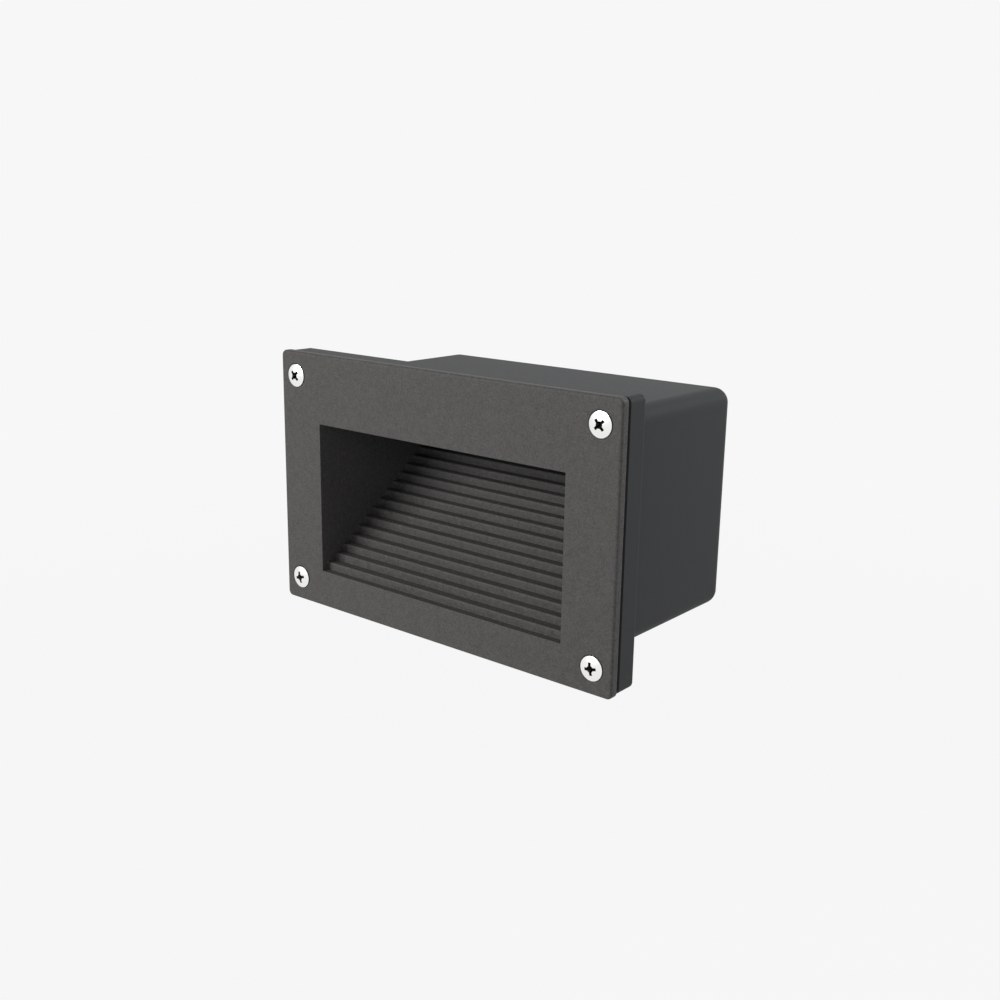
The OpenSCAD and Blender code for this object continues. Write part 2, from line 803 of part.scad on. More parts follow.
module chamber_slab(z0, height, length, width, r) {
    slab_z(z0, height) translate([0, chamber_y]) rounded_rect(length, width, r);
}

module glass_bed() {
    color(silicone_white) difference() {
        chamber_slab(roof_top, bed_t, glass_l, glass_w, small_r);
        chamber_slab(
            roof_top - over, bed_t + 2 * over, window_l + 2 * bed_margin, window_w + 2 * bed_margin, window_w / 4
        );
    }
}

module lens_glass() {
    color([0.8, 0.86, 0.86, 0.5]) chamber_slab(roof_top + bed_t, glass_t, glass_l, glass_w, small_r);
}

module led_board() {
    color([0.9, 0.9, 0.88]) chamber_slab(led_board_bottom, led_board_t, led_board_l, led_board_w, small_r);
}

module led_chips() {
    pitch = led_board_l / chip_count;
    color([0.95, 0.85, 0.35]) for (i = [0 : chip_count - 1])
        translate([(i - (chip_count - 1) / 2) * pitch, chamber_y, led_board_bottom - chip_h / 2])
            cube([chip_side, chip_side, chip_h], center = true);
}

module thermal_pad() {
    color([0.55, 0.62, 0.7]) chamber_slab(pad_bottom, pad_t, led_board_l, led_board_w, small_r);
}

module lid_gasket() {
    color(silicone_black) slab_z(rim_top, lid_gasket_t) difference() {
        translate([0, chamber_y]) rounded_rect(chamber_l, chamber_w, chamber_r);
        translate([0, chamber_y]) rounded_rect(pocket_l, pocket_w, small_r);
        for (p = lug_places) translate(p) circle(lid_screw_r + free_gap);
    }
}

module chamber_lid() {
    color(casting_grey) difference() {
        union() {
            slab_z(lid_bottom, lid_t) chamber_outline();
            chamber_slab(
                lid_bottom - lid_plug_h, lid_plug_h, pocket_l - 2 * plug_gap, pocket_w - 2 * plug_gap, small_r
            );
        }
        for (p = lug_places) translate([p[0], p[1], lid_top]) {
            translate([0, 0, -lid_t - over]) cylinder(r = lid_screw_r + free_gap, h = lid_t + 2 * over);
            translate([0, 0, lid_screw_r - lid_head_r])
                cylinder(r1 = lid_screw_r + fit_gap, r2 = lid_head_r + fit_gap, h = lid_head_r - lid_screw_r);
        }
    }
}

module lid_screws() {
    color(steel_dull) for (p = lug_places)
        translate([p[0], p[1], lid_top]) flat_screw(lid_screw_r, lid_screw_l, lid_head_r);
}

module lead_grommet() {
    wall_front = chamber_y + pocket_w / 2;
    color(silicone_black) difference() {
        union() {
            rod_y(grommet_x, wall_front - grommet_flange_t, grommet_z, grommet_flange_r, grommet_flange_t);
            rod_y(grommet_x, wall_front, grommet_z, grommet_waist_r, chamber_wall);
            rod_y(grommet_x, wall_front + chamber_wall, grommet_z, grommet_flange_r, grommet_flange_t);
        }
        for (side = [-1, 1]) rod_y(
            grommet_x + side * lead_spacing / 2, wall_front - grommet_flange_t - over, grommet_z,
            lead_r + fit_gap, chamber_wall + 2 * grommet_flange_t + 2 * over
        );
    }
}

// The route of a lead from the light board, out over the roof and down to the driver
function led_route(side) =
    let (
        x = grommet_x + side * lead_spacing / 2,
        wall_front = chamber_y + pocket_w / 2,
        grommet_rear = chamber_y + chamber_w / 2 + grommet_flange_t,
        behind_hood = hood_rear + lead_room,
        driver_end = driver_x - driver_l / 2,
        driver_end_y = driver_y + side * driver_w / 8,
        driver_end_z = tray_top + driver_h / 3,
        loop_x = driver_end - 2 * lead_room + side * lead_spacing
    ) [
        [x, chamber_y + led_board_w / 2, grommet_z],
        [x, wall_front, grommet_z],
        [x, grommet_rear, grommet_z],
        [x, grommet_rear + lead_grip, grommet_z],
        [x - lead_grip, grommet_rear + lead_grip + grommet_flange_r, roof_top + 2 * lead_r],
        [x - lead_grip, hood_rear - lead_grip, roof_top + 2 * lead_r],
        [x - lead_grip, behind_hood, opening_top],
        [loop_x, behind_hood, 0],
        [loop_x, driver_y + driver_w / 4, tray_top + driver_h * lead_drop_share],
        [driver_end - 2 * lead_grip, driver_end_y, driver_end_z],
        [driver_end - lead_grip, driver_end_y, driver_end_z],
        [driver_end, driver_end_y, driver_end_z]
    ];

module led_lead_positive() {
    color([0.7, 0.1, 0.08]) tube(led_route(1), lead_r);
}

module led_lead_negative() {
    color([0.08, 0.08, 0.08]) tube(led_route(-1), lead_r);
}

// The driver and its tray

module driver_tray() {
    color(steel_dull) difference() {
        union() {
            translate([-tray_w / 2, tray_front, tray_top - tray_t]) cube([tray_w, tray_d, tray_t]);
            for (side = [-1, 1]) translate([side * (tray_w - tray_t) / 2, ear_front + ear_d / 2, tray_top + ear_h / 2])
                cube([tray_t, ear_d, ear_h], center = true);
        }
        for (side = [-1, 1], y = ear_screw_places) translate([side * tray_w / 2, y, ear_screw_z]) rotate([0, 90, 0])
            cylinder(r = tray_screw_r + fit_gap, h = 4 * tray_t, center = true);
        for (p = module_screw_places) translate([p[0], p[1], tray_top - tray_t - over])
            cylinder(r = tray_screw_r + fit_gap, h = tray_t + 2 * over);
    }
}

module tray_screws() {
    color(steel_dull) for (side = [-1, 1], y = ear_screw_places)
        translate([side * hood_half_w, y, ear_screw_z]) rotate([0, side * 90, 0])
            pan_screw(tray_screw_r, tray_screw_l, tray_head_r, tray_head_h);
}

module driver_case() {
    color(case_white) difference() {
        union() {
            slab_z(tray_top, driver_case_h) translate([driver_x, driver_y])
                rounded_rect(driver_l, driver_w, driver_corner_r);
            slab_z(tray_top, driver_lug_t) translate([driver_x, driver_y])
                rounded_rect(driver_l + 2 * driver_lug_l, driver_lug_w, driver_corner_r);
        }
        difference() {
            slab_z(tray_top + driver_wall, driver_case_h) translate([driver_x, driver_y])
                rounded_rect(driver_inner_l, driver_inner_w, small_r);
            for (x = [-1, 1], y = [-1, 1]) translate([
                driver_x + x * driver_inner_l * post_place_shares[0],
                driver_y + y * driver_inner_w * post_place_shares[1], tray_top
            ]) cylinder(r = driver_wall, h = driver_wall + post_h);
        }
        for (p = module_screw_places) translate([p[0], p[1], tray_top - over])
            cylinder(r = tray_screw_r + fit_gap, h = driver_lug_t + 2 * over);
    }
}

module driver_lid() {
    color(case_white) translate([driver_x, driver_y, tray_top + driver_case_h]) {
        linear_extrude(driver_lid_t) rounded_rect(driver_l, driver_w, driver_corner_r);
        translate([0, 0, -driver_lid_t]) linear_extrude(driver_lid_t) difference() {
            rounded_rect(driver_inner_l - 2 * driver_lip_gap, driver_inner_w - 2 * driver_lip_gap, small_r);
            rounded_rect(driver_inner_l - 2 * driver_wall, driver_inner_w - 2 * driver_wall, small_r);
        }
    }
}

module driver_board() {
    board_l = driver_inner_l - 2 * driver_board_gap;
    board_w = driver_inner_w - 2 * driver_board_gap;
    part_h = driver_inner_h * coil_height_share;
    translate([driver_x, driver_y, tray_top + driver_wall + post_h]) {
        color([0.1, 0.4, 0.2]) linear_extrude(driver_board_t) square([board_l, board_w], center = true);
        color([0.8, 0.7, 0.2]) translate([-board_l / 8, 0, driver_board_t]) linear_extrude(part_h)
            square([board_l / 4, board_w / 2], center = true);
        color([0.1, 0.1, 0.12]) for (y = [-1, 1]) translate([board_l / 4, y * board_w / 4, driver_board_t])
            cylinder(r = board_w / 8, h = part_h);
    }
}

module module_screws() {
    color(steel_dull) for (p = module_screw_places) translate(p)
        pan_screw(tray_screw_r, driver_lug_t + tray_t + module_screw_past, tray_head_r, tray_head_h);
}

// The terminal block

function pole_x(i) = block_x + (i - (pole_count - 1) / 2) * pole_pitch;

module terminal_block() {
    base_h = block_h * block_base_share;
    color([0.9, 0.9, 0.86]) difference() {
        for (i = [0 : pole_count - 1]) translate([pole_x(i), block_y, tray_top]) {
            linear_extrude(base_h) square([pole_pitch, block_d], center = true);
            for (y = clamp_rows) translate([0, y, base_h]) cylinder(r = clamp_head_r + barrel_wall, h = block_h - base_h);
        }
        for (i = [0 : pole_count - 1]) {
            rod_y(pole_x(i), block_front - over, pole_bore_z, pole_bore_r, block_d + 2 * over);
            for (y = clamp_rows) translate([pole_x(i), block_y + y, pole_bore_z])
                cylinder(r = clamp_head_r + fit_gap, h = block_h);
        }
    }
}

module terminal_barrels() {
    color(brass_yellow) for (i = [0 : pole_count - 1]) difference() {
        rod_y(pole_x(i), block_front + barrel_set, pole_bore_z, pole_bore_r - fit_gap, block_d - 2 * barrel_set);
        rod_y(pole_x(i), block_front, pole_bore_z, barrel_bore_r, block_d);
        for (y = clamp_rows) translate([pole_x(i), block_y + y, pole_bore_z])
            cylinder(r = clamp_screw_r + fit_gap, h = block_h);
    }
}

module terminal_screws() {
    head_z = pole_bore_z + pole_bore_r + barrel_wall;
    color(steel_dull) for (i = [0 : pole_count - 1], y = clamp_rows) translate([pole_x(i), block_y + y, head_z])
        pan_screw(clamp_screw_r, pole_bore_r, clamp_head_r, clamp_head_r);
}

// Leads from the front of the terminal block to the driver and to the earth tag

function supply_route(i) =
    let (y_end = block_front - (i + 1) * lead_bend, input_x = driver_x + driver_l / 2) [
        [pole_x(i), block_front + lead_grip, pole_bore_z],
        [pole_x(i), y_end + lead_bend, pole_bore_z],
        [pole_x(i) - lead_bend, y_end, pole_bore_z],
        [input_x + driver_lug_l, y_end, pole_bore_z],
        [input_x, y_end, pole_bore_z]
    ];

module lead_live() {
    color([0.4, 0.22, 0.1]) tube(supply_route(0), supply_lead_r);
}

module lead_neutral() {
    color([0.1, 0.25, 0.6]) tube(supply_route(1), supply_lead_r);
}

module lead_earth() {
    end_x = tag_x - tag_t - supply_lead_r - free_gap;
    color([0.2, 0.55, 0.15]) tube([
        [pole_x(2), block_front + lead_grip, pole_bore_z],
        [pole_x(2), block_front - lead_grip, pole_bore_z],
        [tag_x - lead_bend, (block_front + earth_y) / 2, pole_bore_z],
        [end_x, earth_y + tag_r + lead_bend, earth_z],
        [end_x, earth_y + tag_r, earth_z]
    ], supply_lead_r);
}

module earth_tag() {
    color(brass_yellow) translate([tag_x - tag_t, earth_y, earth_z]) rotate([0, 90, 0]) linear_extrude(tag_t) difference() {
        union() {
            circle(r = tag_r);
            translate([-supply_lead_r, 0]) square([2 * supply_lead_r, tag_r + lead_bend]);
        }
        circle(r = earth_screw_r + fit_gap);
    }
}

module earth_screw() {
    color(brass_yellow) translate([tag_x - tag_t, earth_y, earth_z]) rotate([0, -90, 0])
        pan_screw(earth_screw_r, tag_t + earth_boss_t + cheek_t, earth_head_r, earth_head_h);
}

back_box();
thread_inserts();
gland_body();
gland_washer();
gland_locknut();
gland_seal();
gland_nut();
face_casting();
face_gasket();
screw_seals();
face_screw(0);  // face_screw_top_left
face_screw(1);  // face_screw_top_right
face_screw(2);  // face_screw_bottom_right
face_screw(3);  // face_screw_bottom_left
glass_bed();
lens_glass();
led_board();
led_chips();
thermal_pad();
lid_gasket();
chamber_lid();
lid_screws();
lead_grommet();
led_lead_positive();
led_lead_negative();
driver_tray();
tray_screws();
driver_case();
driver_lid();
driver_board();
module_screws();
terminal_block();
terminal_barrels();
terminal_screws();
lead_live();
lead_neutral();
lead_earth();
earth_tag();
earth_screw();
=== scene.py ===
"""Looks of a recessed step light, built round its fixed CAD frame.

The light is a die-cast hooded front unit with a flight of steps that spreads its
light downwards, screwed to a moulded box that is set in the wall. Each sub-assembly
is a class: it keeps the frame's nodes whose shape is right and gives them their
finish, and makes the turned, bent and wired pieces anew. Lengths are millimetres in
the fields and metres in the meshes. X runs across the plate, +Y into the wall, +Z up.
"""

import json
import logging
import math
from collections.abc import Sequence
from dataclasses import dataclass, field
from enum import Enum
from typing import ClassVar

import bmesh
import bpy
from mathutils import Matrix, Vector

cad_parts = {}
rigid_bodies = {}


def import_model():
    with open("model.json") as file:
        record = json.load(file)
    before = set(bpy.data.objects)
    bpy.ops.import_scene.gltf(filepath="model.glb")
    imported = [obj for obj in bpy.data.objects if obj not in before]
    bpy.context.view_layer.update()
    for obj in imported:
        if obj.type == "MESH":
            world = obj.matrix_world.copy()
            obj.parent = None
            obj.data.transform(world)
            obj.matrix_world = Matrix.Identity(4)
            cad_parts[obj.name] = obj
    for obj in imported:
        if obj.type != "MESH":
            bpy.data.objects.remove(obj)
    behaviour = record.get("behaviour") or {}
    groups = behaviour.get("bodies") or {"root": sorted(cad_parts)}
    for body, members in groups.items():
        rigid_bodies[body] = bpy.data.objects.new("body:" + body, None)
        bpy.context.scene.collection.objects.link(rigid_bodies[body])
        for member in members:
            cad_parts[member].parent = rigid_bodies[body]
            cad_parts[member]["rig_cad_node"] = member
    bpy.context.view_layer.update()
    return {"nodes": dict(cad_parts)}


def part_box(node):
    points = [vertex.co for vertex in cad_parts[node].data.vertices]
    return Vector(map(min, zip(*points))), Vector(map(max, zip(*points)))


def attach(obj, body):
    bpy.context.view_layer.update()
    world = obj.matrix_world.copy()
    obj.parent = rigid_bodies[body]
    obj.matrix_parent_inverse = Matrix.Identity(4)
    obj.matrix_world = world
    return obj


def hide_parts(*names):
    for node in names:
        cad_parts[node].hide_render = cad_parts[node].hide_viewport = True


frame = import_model()

LOG = logging.getLogger("step_light")
MM = 0.001
# Vertices closer than the first are one, and heights closer than the second are level
MERGE_MM = 0.0005
LEVEL_MM = 0.01
# Stretches that a rounded edge of a profile is drawn in
ARC_STRETCHES = 8
Point = tuple[float, float, float]
Profile = Sequence[tuple[float, float]]
Mesh = bmesh.types.BMesh
Tree = bpy.types.NodeTree
Node = bpy.types.Node
Socket = bpy.types.NodeSocket
Inputs = dict[str | int, object]


class Slot(Enum):
    """Material slots of the record."""

    CASTING = "casting"
    BOX = "box_plastic"
    STAINLESS = "stainless"
    ZINC = "zinc_steel"
    BRASS = "brass"
    RUBBER = "black_rubber"
    SILICONE = "white_silicone"
    NYLON = "gland_nylon"
    GLASS = "clear_glass"
    WHITE_BOARD = "white_board"
    PHOSPHOR = "phosphor"
    PAD = "pad_blue"
    WHITE_CASE = "driver_white"
    GREEN_BOARD = "board_green"
    RED = "lead_red"
    BLACK = "lead_black"
    BROWN = "lead_brown"
    BLUE = "lead_blue"
    GREEN = "lead_green"


class Body(Enum):
    """Bodies that the pieces ride on."""

    BACK_BOX = "back_box"
    FRONT_UNIT = "front_unit"
    SCREW_TOP_LEFT = "screw_top_left"
    SCREW_TOP_RIGHT = "screw_top_right"
    SCREW_BOTTOM_RIGHT = "screw_bottom_right"
    SCREW_BOTTOM_LEFT = "screw_bottom_left"
    GLAND_NUT = "gland_nut"


class Head(Enum):
    """Forms of a screw's head."""

    RAISED = "raised countersunk"
    PAN = "pan"
    FLAT = "countersunk"


# Nodes and colours


def linear(hex_colour: str) -> tuple[float, float, float, float]:
    """Turn an sRGB hex colour into the linear colour that shaders take.

    Args:
        hex_colour: Six hex digits after a hash.

    Returns:
        Linear red, green, blue and an alpha of 1.
    """
    shares = [int(hex_colour[i : i + 2], 16) / 255 for i in (1, 3, 5)]
    red, green, blue = (s / 12.92 if s <= 0.04045 else ((s + 0.055) / 1.055) ** 2.4 for s in shares)
    return red, green, blue, 1.0


def per_metre(size_mm: float) -> float:
    """Return the pattern scale whose cells are about size_mm across."""
    return 1 / (size_mm * MM)


def add_node(tree: Tree, kind: str, inputs: Inputs | None = None, **settings: object) -> Node:
    """Add a node with its settings, and set or link its inputs.

    Args:
        tree: The node tree.
        kind: The node's type, without its ShaderNode prefix.
        inputs: Input names or numbers, each with a value or an output socket.
        **settings: Properties of the node.

    Returns:
        The new node.
    """
    node = tree.nodes.new("ShaderNode" + kind)
    for name, value in settings.items():
        setattr(node, name, value)
    feed(tree, node, inputs or {})
    return node


def feed(tree: Tree, node: Node, inputs: Inputs) -> None:
    """Set or link a node's inputs.

    Args:
        tree: The node tree.
        node: The node.
        inputs: Input names or numbers, each with a value or an output socket.
    """
    for key, value in inputs.items():
        if isinstance(value, Socket):
            tree.links.new(value, node.inputs[key])
        else:
            node.inputs[key].default_value = value


def bare_tree(owner: bpy.types.ID) -> Tree:
    """Give a material or a world a node tree without its default nodes.

    Args:
        owner: The material or world.

    Returns:
        Its empty tree.
    """
    owner.use_nodes = True
    owner.node_tree.nodes.clear()
    return owner.node_tree


# Finishes


@dataclass(frozen=True)
class Finish:
    """A surface finish: the common part of every material.

    Attributes:
        name: The real material's name.
        colour: sRGB hex of the surface.
        roughness: Roughness of the surface.
    """

    name: str
    colour: str
    roughness: float

    def build(self) -> bpy.types.Material:
        """Build the material.

        Returns:
            A material with a Principled shader that takes what dress() returns.
        """
        material = bpy.data.materials.new(self.name)
        tree = bare_tree(material)
        place = add_node(tree, "TexCoord").outputs["Object"]
        shader = add_node(
            tree, "BsdfPrincipled", {"Base Color": linear(self.colour), "Roughness": self.roughness}
        )
        feed(tree, shader, self.dress(tree, place))
        add_node(tree, "OutputMaterial", {"Surface": shader.outputs["BSDF"]})
        material.diffuse_color = linear(self.colour)
        return material

    def dress(self, tree: Tree, place: Socket) -> Inputs:
        """Add what sets this finish apart.

        Args:
            tree: The material's node tree.
            place: Object coordinates, in metres.

        Returns:
            Inputs of the shader, each with its value or socket.
        """
        return {}


@dataclass(frozen=True)
class PowderCoat(Finish):
    """Fine-textured powder coat on a die casting: matt, with a sandy grit and a soft light along round edges.

    Attributes:
        speck: sRGB hex of the lighter grains.
        grit_mm: Size of a grain. The real one is about 0.2 mm, drawn coarser so that it shows.
        mottle_mm: Size of the soft patches in which the coat gathers.
        grit_depth_mm: Height of the grain.
        edge_mm: Radius of the casting's softened edges.
    """

    speck: str = "#575554"
    grit_mm: float = 0.6
    mottle_mm: float = 1.6
    grit_depth_mm: float = 0.09
    edge_mm: float = 0.3

    def dress(self, tree: Tree, place: Socket) -> Inputs:
        """Add the specks, the patches and the grain.

        Args:
            tree: The material's node tree.
            place: Object coordinates, in metres.

        Returns:
            Inputs of the shader, each with its value or socket.
        """
        grit = add_node(
            tree,
            "TexNoise",
            {"Vector": place, "Scale": per_metre(self.grit_mm), "Detail": 2.0, "Roughness": 0.6},
        )
        mottle = add_node(
            tree,
            "TexNoise",
            {"Vector": place, "Scale": per_metre(self.mottle_mm), "Detail": 3.0, "Roughness": 0.65},
        )
        both = add_node(
            tree, "Mix", {0: 0.35, 2: grit.outputs["Fac"], 3: mottle.outputs["Fac"]}, data_type="FLOAT"
        )
        share = add_node(tree, "MapRange", {"Value": both.outputs[0], "From Min": 0.3, "From Max": 0.7})
        tint = add_node(
            tree,
            "Mix",
            {0: share.outputs["Result"], 6: linear(self.colour), 7: linear(self.speck)},
            data_type="RGBA",
        )
        edge = add_node(tree, "Bevel", {"Radius": self.edge_mm * MM}, samples=6)
        grain = add_node(
            tree,
            "Bump",
            {
                "Height": grit.outputs["Fac"],
                "Distance": self.grit_depth_mm * MM,
                "Strength": 0.8,
                "Normal": edge.outputs["Normal"],
            },
        )
        return {
            "Base Color": tint.outputs[2],
            "Normal": grain.outputs["Normal"],
            "Specular IOR Level": 0.16,
        }


@dataclass(frozen=True)
class Moulded(Finish):
    """Moulded thermoplastic: even colour, a satin skin and a faint orange peel where the resin froze.

    Attributes:
        peel_mm: Size of the orange peel.
        peel_depth_mm: Its height.
        peel_spread: How far the peel moves the roughness either way.
        edge_mm: Radius of the moulding's softened edges.
        glow: Share of light that passes through a thin pale wall.
        gloss: Strength of the skin's reflection.
    """

    peel_mm: float = 1.2
    peel_depth_mm: float = 0.008
    peel_spread: float = 0.02
    edge_mm: float = 0.3
    glow: float = 0.0
    gloss: float = 0.5

    def dress(self, tree: Tree, place: Socket) -> Inputs:
        """Add the uneven satin skin and the peel.

        Args:
            tree: The material's node tree.
            place: Object coordinates, in metres.

        Returns:
            Inputs of the shader, each with its value or socket.
        """
        peel = add_node(tree, "TexNoise", {"Vector": place, "Scale": per_metre(self.peel_mm), "Detail": 2.0})
        skin = add_node(
            tree,
            "MapRange",
            {
                "Value": peel.outputs["Fac"],
                "From Min": 0.3,
                "From Max": 0.7,
                "To Min": self.roughness - self.peel_spread,
                "To Max": self.roughness + self.peel_spread,
            },
        )
        edge = add_node(tree, "Bevel", {"Radius": self.edge_mm * MM}, samples=6)
        bump = add_node(
            tree,
            "Bump",
            {
                "Height": peel.outputs["Fac"],
                "Distance": self.peel_depth_mm * MM,
                "Strength": 0.6,
                "Normal": edge.outputs["Normal"],
            },
        )
        return {
            "Roughness": skin.outputs["Result"],
            "Normal": bump.outputs["Normal"],
            "Specular IOR Level": self.gloss,
            "Subsurface Weight": self.glow,
            "Subsurface Radius": (MM, MM, MM),
            "Subsurface Scale": 1.0,
        }


@dataclass(frozen=True)
class Metal(Finish):
    """Bare or plated metal: mirror-like under a fine haze, with marks from the tool or the plating bath.

    Attributes:
        shade: sRGB hex of the duller patches.
        mark_mm: Size of the marks.
        mark_depth_mm: Their depth.
    """

    shade: str = "#b4b4b2"
    mark_mm: float = 0.3
    mark_depth_mm: float = 0.004

    def dress(self, tree: Tree, place: Socket) -> Inputs:
        """Add the patches and the tool marks.

        Args:
            tree: The material's node tree.
            place: Object coordinates, in metres.

        Returns:
            Inputs of the shader, each with its value or socket.
        """
        marks = add_node(tree, "TexNoise", {"Vector": place, "Scale": per_metre(self.mark_mm), "Detail": 3.0})
        tint = add_node(
            tree,
            "Mix",
            {0: marks.outputs["Fac"], 6: linear(self.colour), 7: linear(self.shade)},
            data_type="RGBA",
        )
        haze = add_node(
            tree,
            "MapRange",
            {"Value": marks.outputs["Fac"], "To Min": self.roughness * 0.7, "To Max": self.roughness * 1.3},
        )
        bump = add_node(
            tree,
            "Bump",
            {"Height": marks.outputs["Fac"], "Distance": self.mark_depth_mm * MM, "Strength": 0.5},
        )
        return {
            "Base Color": tint.outputs[2],
            "Roughness": haze.outputs["Result"],
            "Normal": bump.outputs["Normal"],
            "Metallic": 1.0,
        }


@dataclass(frozen=True)
class ZincSheet(Metal):
    """Zinc-plated sheet steel: a grey mirror broken into soft spangles a few millimetres wide.

    Attributes:
        spangle_mm: Width of a spangle.
    """

    spangle_mm: float = 2.2

    def dress(self, tree: Tree, place: Socket) -> Inputs:
        """Add the spangles.

        Args:
            tree: The material's node tree.
            place: Object coordinates, in metres.

        Returns:
            Inputs of the shader, each with its value or socket.
        """
        spangle = add_node(tree, "TexVoronoi", {"Vector": place, "Scale": per_metre(self.spangle_mm)})
        tone = add_node(tree, "SeparateColor", {"Color": spangle.outputs["Color"]})
        tint = add_node(
            tree,
            "Mix",
            {0: tone.outputs["Red"], 6: linear(self.colour), 7: linear(self.shade)},
            data_type="RGBA",
        )
        haze = add_node(
            tree,
            "MapRange",
            {"Value": tone.outputs["Green"], "To Min": self.roughness * 0.8, "To Max": self.roughness * 1.3},
        )
        return {"Base Color": tint.outputs[2], "Roughness": haze.outputs["Result"], "Metallic": 1.0}


@dataclass(frozen=True)
class Rubber(Finish):
    """Cut or moulded silicone rubber: matt, slightly dusty, with a soft sheen at a glancing angle.

    Attributes:
        dust: sRGB hex of the dusty bloom.
        bloom_mm: Size of the bloom's patches.
        bloom_depth_mm: Their height.
    """

    dust: str = "#1c1c1c"
    bloom_mm: float = 1.5
    bloom_depth_mm: float = 0.02

    def dress(self, tree: Tree, place: Socket) -> Inputs:
        """Add the bloom and the sheen.

        Args:
            tree: The material's node tree.
            place: Object coordinates, in metres.

        Returns:
            Inputs of the shader, each with its value or socket.
        """
        bloom = add_node(
            tree, "TexNoise", {"Vector": place, "Scale": per_metre(self.bloom_mm), "Detail": 4.0}
        )
        tint = add_node(
            tree,
            "Mix",
            {0: bloom.outputs["Fac"], 6: linear(self.colour), 7: linear(self.dust)},
            data_type="RGBA",
        )
        bump = add_node(
            tree,
            "Bump",
            {"Height": bloom.outputs["Fac"], "Distance": self.bloom_depth_mm * MM, "Strength": 0.5},
        )
        return {
            "Base Color": tint.outputs[2],
            "Normal": bump.outputs["Normal"],
            "Sheen Weight": 0.03,
            "Specular IOR Level": 0.2,
        }


@dataclass(frozen=True)
class ToughGlass(Finish):
    """Toughened soda-lime glass: clear with a green cast in its edge and roller waves too slight to feel.

    Attributes:
        ior: Index of refraction.
        wave_mm: Length of the roller waves.
        wave_depth_mm: Their height.
    """

    ior: float = 1.52
    wave_mm: float = 25.0
    wave_depth_mm: float = 0.05

    def dress(self, tree: Tree, place: Socket) -> Inputs:
        """Make it clear and slightly waved.

        Args:
            tree: The material's node tree.
            place: Object coordinates, in metres.

        Returns:
            Inputs of the shader, each with its value or socket.
        """
        wave = add_node(tree, "TexNoise", {"Vector": place, "Scale": per_metre(self.wave_mm)})
        bump = add_node(
            tree,
            "Bump",
            {"Height": wave.outputs["Fac"], "Distance": self.wave_depth_mm * MM, "Strength": 0.3},
        )
        return {"Normal": bump.outputs["Normal"], "Transmission Weight": 1.0, "IOR": self.ior}


@dataclass(frozen=True)
class SolderMask(Finish):
    """Solder mask on a circuit board: a lacquer skin that shows the copper tracks under it as faint steps.

    Attributes:
        track: sRGB hex of the mask where it lies over copper.
        track_mm: Width of a track.
        track_depth_mm: Step of the lacquer over a track.
    """

    track: str = "#e8e8e4"
    track_mm: float = 2.0
    track_depth_mm: float = 0.03

    def dress(self, tree: Tree, place: Socket) -> Inputs:
        """Add the tracks under the lacquer.

        Args:
            tree: The material's node tree.
            place: Object coordinates, in metres.

        Returns:
            Inputs of the shader, each with its value or socket.
        """
        tracks = add_node(
            tree,
            "TexBrick",
            {
                "Vector": place,
                "Color1": linear(self.colour),
                "Color2": linear(self.track),
                "Mortar": linear(self.colour),
                "Scale": per_metre(4 * self.track_mm),
                "Mortar Size": 0.06,
            },
        )
        bump = add_node(
            tree,
            "Bump",
            {"Height": tracks.outputs["Fac"], "Distance": self.track_depth_mm * MM, "Strength": 0.4},
        )
        return {
            "Base Color": tracks.outputs["Color"],
            "Normal": bump.outputs["Normal"],
            "Coat Weight": 0.4,
            "Coat Roughness": 0.2,
        }


@dataclass(frozen=True)
class Phosphor(Finish):
    """Phosphor in clear silicone: a yellow grain that glows softly below a smooth skin.

    Attributes:
        grain: sRGB hex of the denser grains.
        grain_mm: Size of the grains, drawn coarser than the real powder so that they show.
    """

    grain: str = "#f0b81e"
    grain_mm: float = 0.25

    def dress(self, tree: Tree, place: Socket) -> Inputs:
        """Add the grains and the clear skin.

        Args:
            tree: The material's node tree.
            place: Object coordinates, in metres.

        Returns:
            Inputs of the shader, each with its value or socket.
        """
        grains = add_node(
            tree, "TexNoise", {"Vector": place, "Scale": per_metre(self.grain_mm), "Detail": 2.0}
        )
        tint = add_node(
            tree,
            "Mix",
            {0: grains.outputs["Fac"], 6: linear(self.colour), 7: linear(self.grain)},
            data_type="RGBA",
        )
        return {"Base Color": tint.outputs[2], "Coat Weight": 0.8, "Coat Roughness": 0.08}


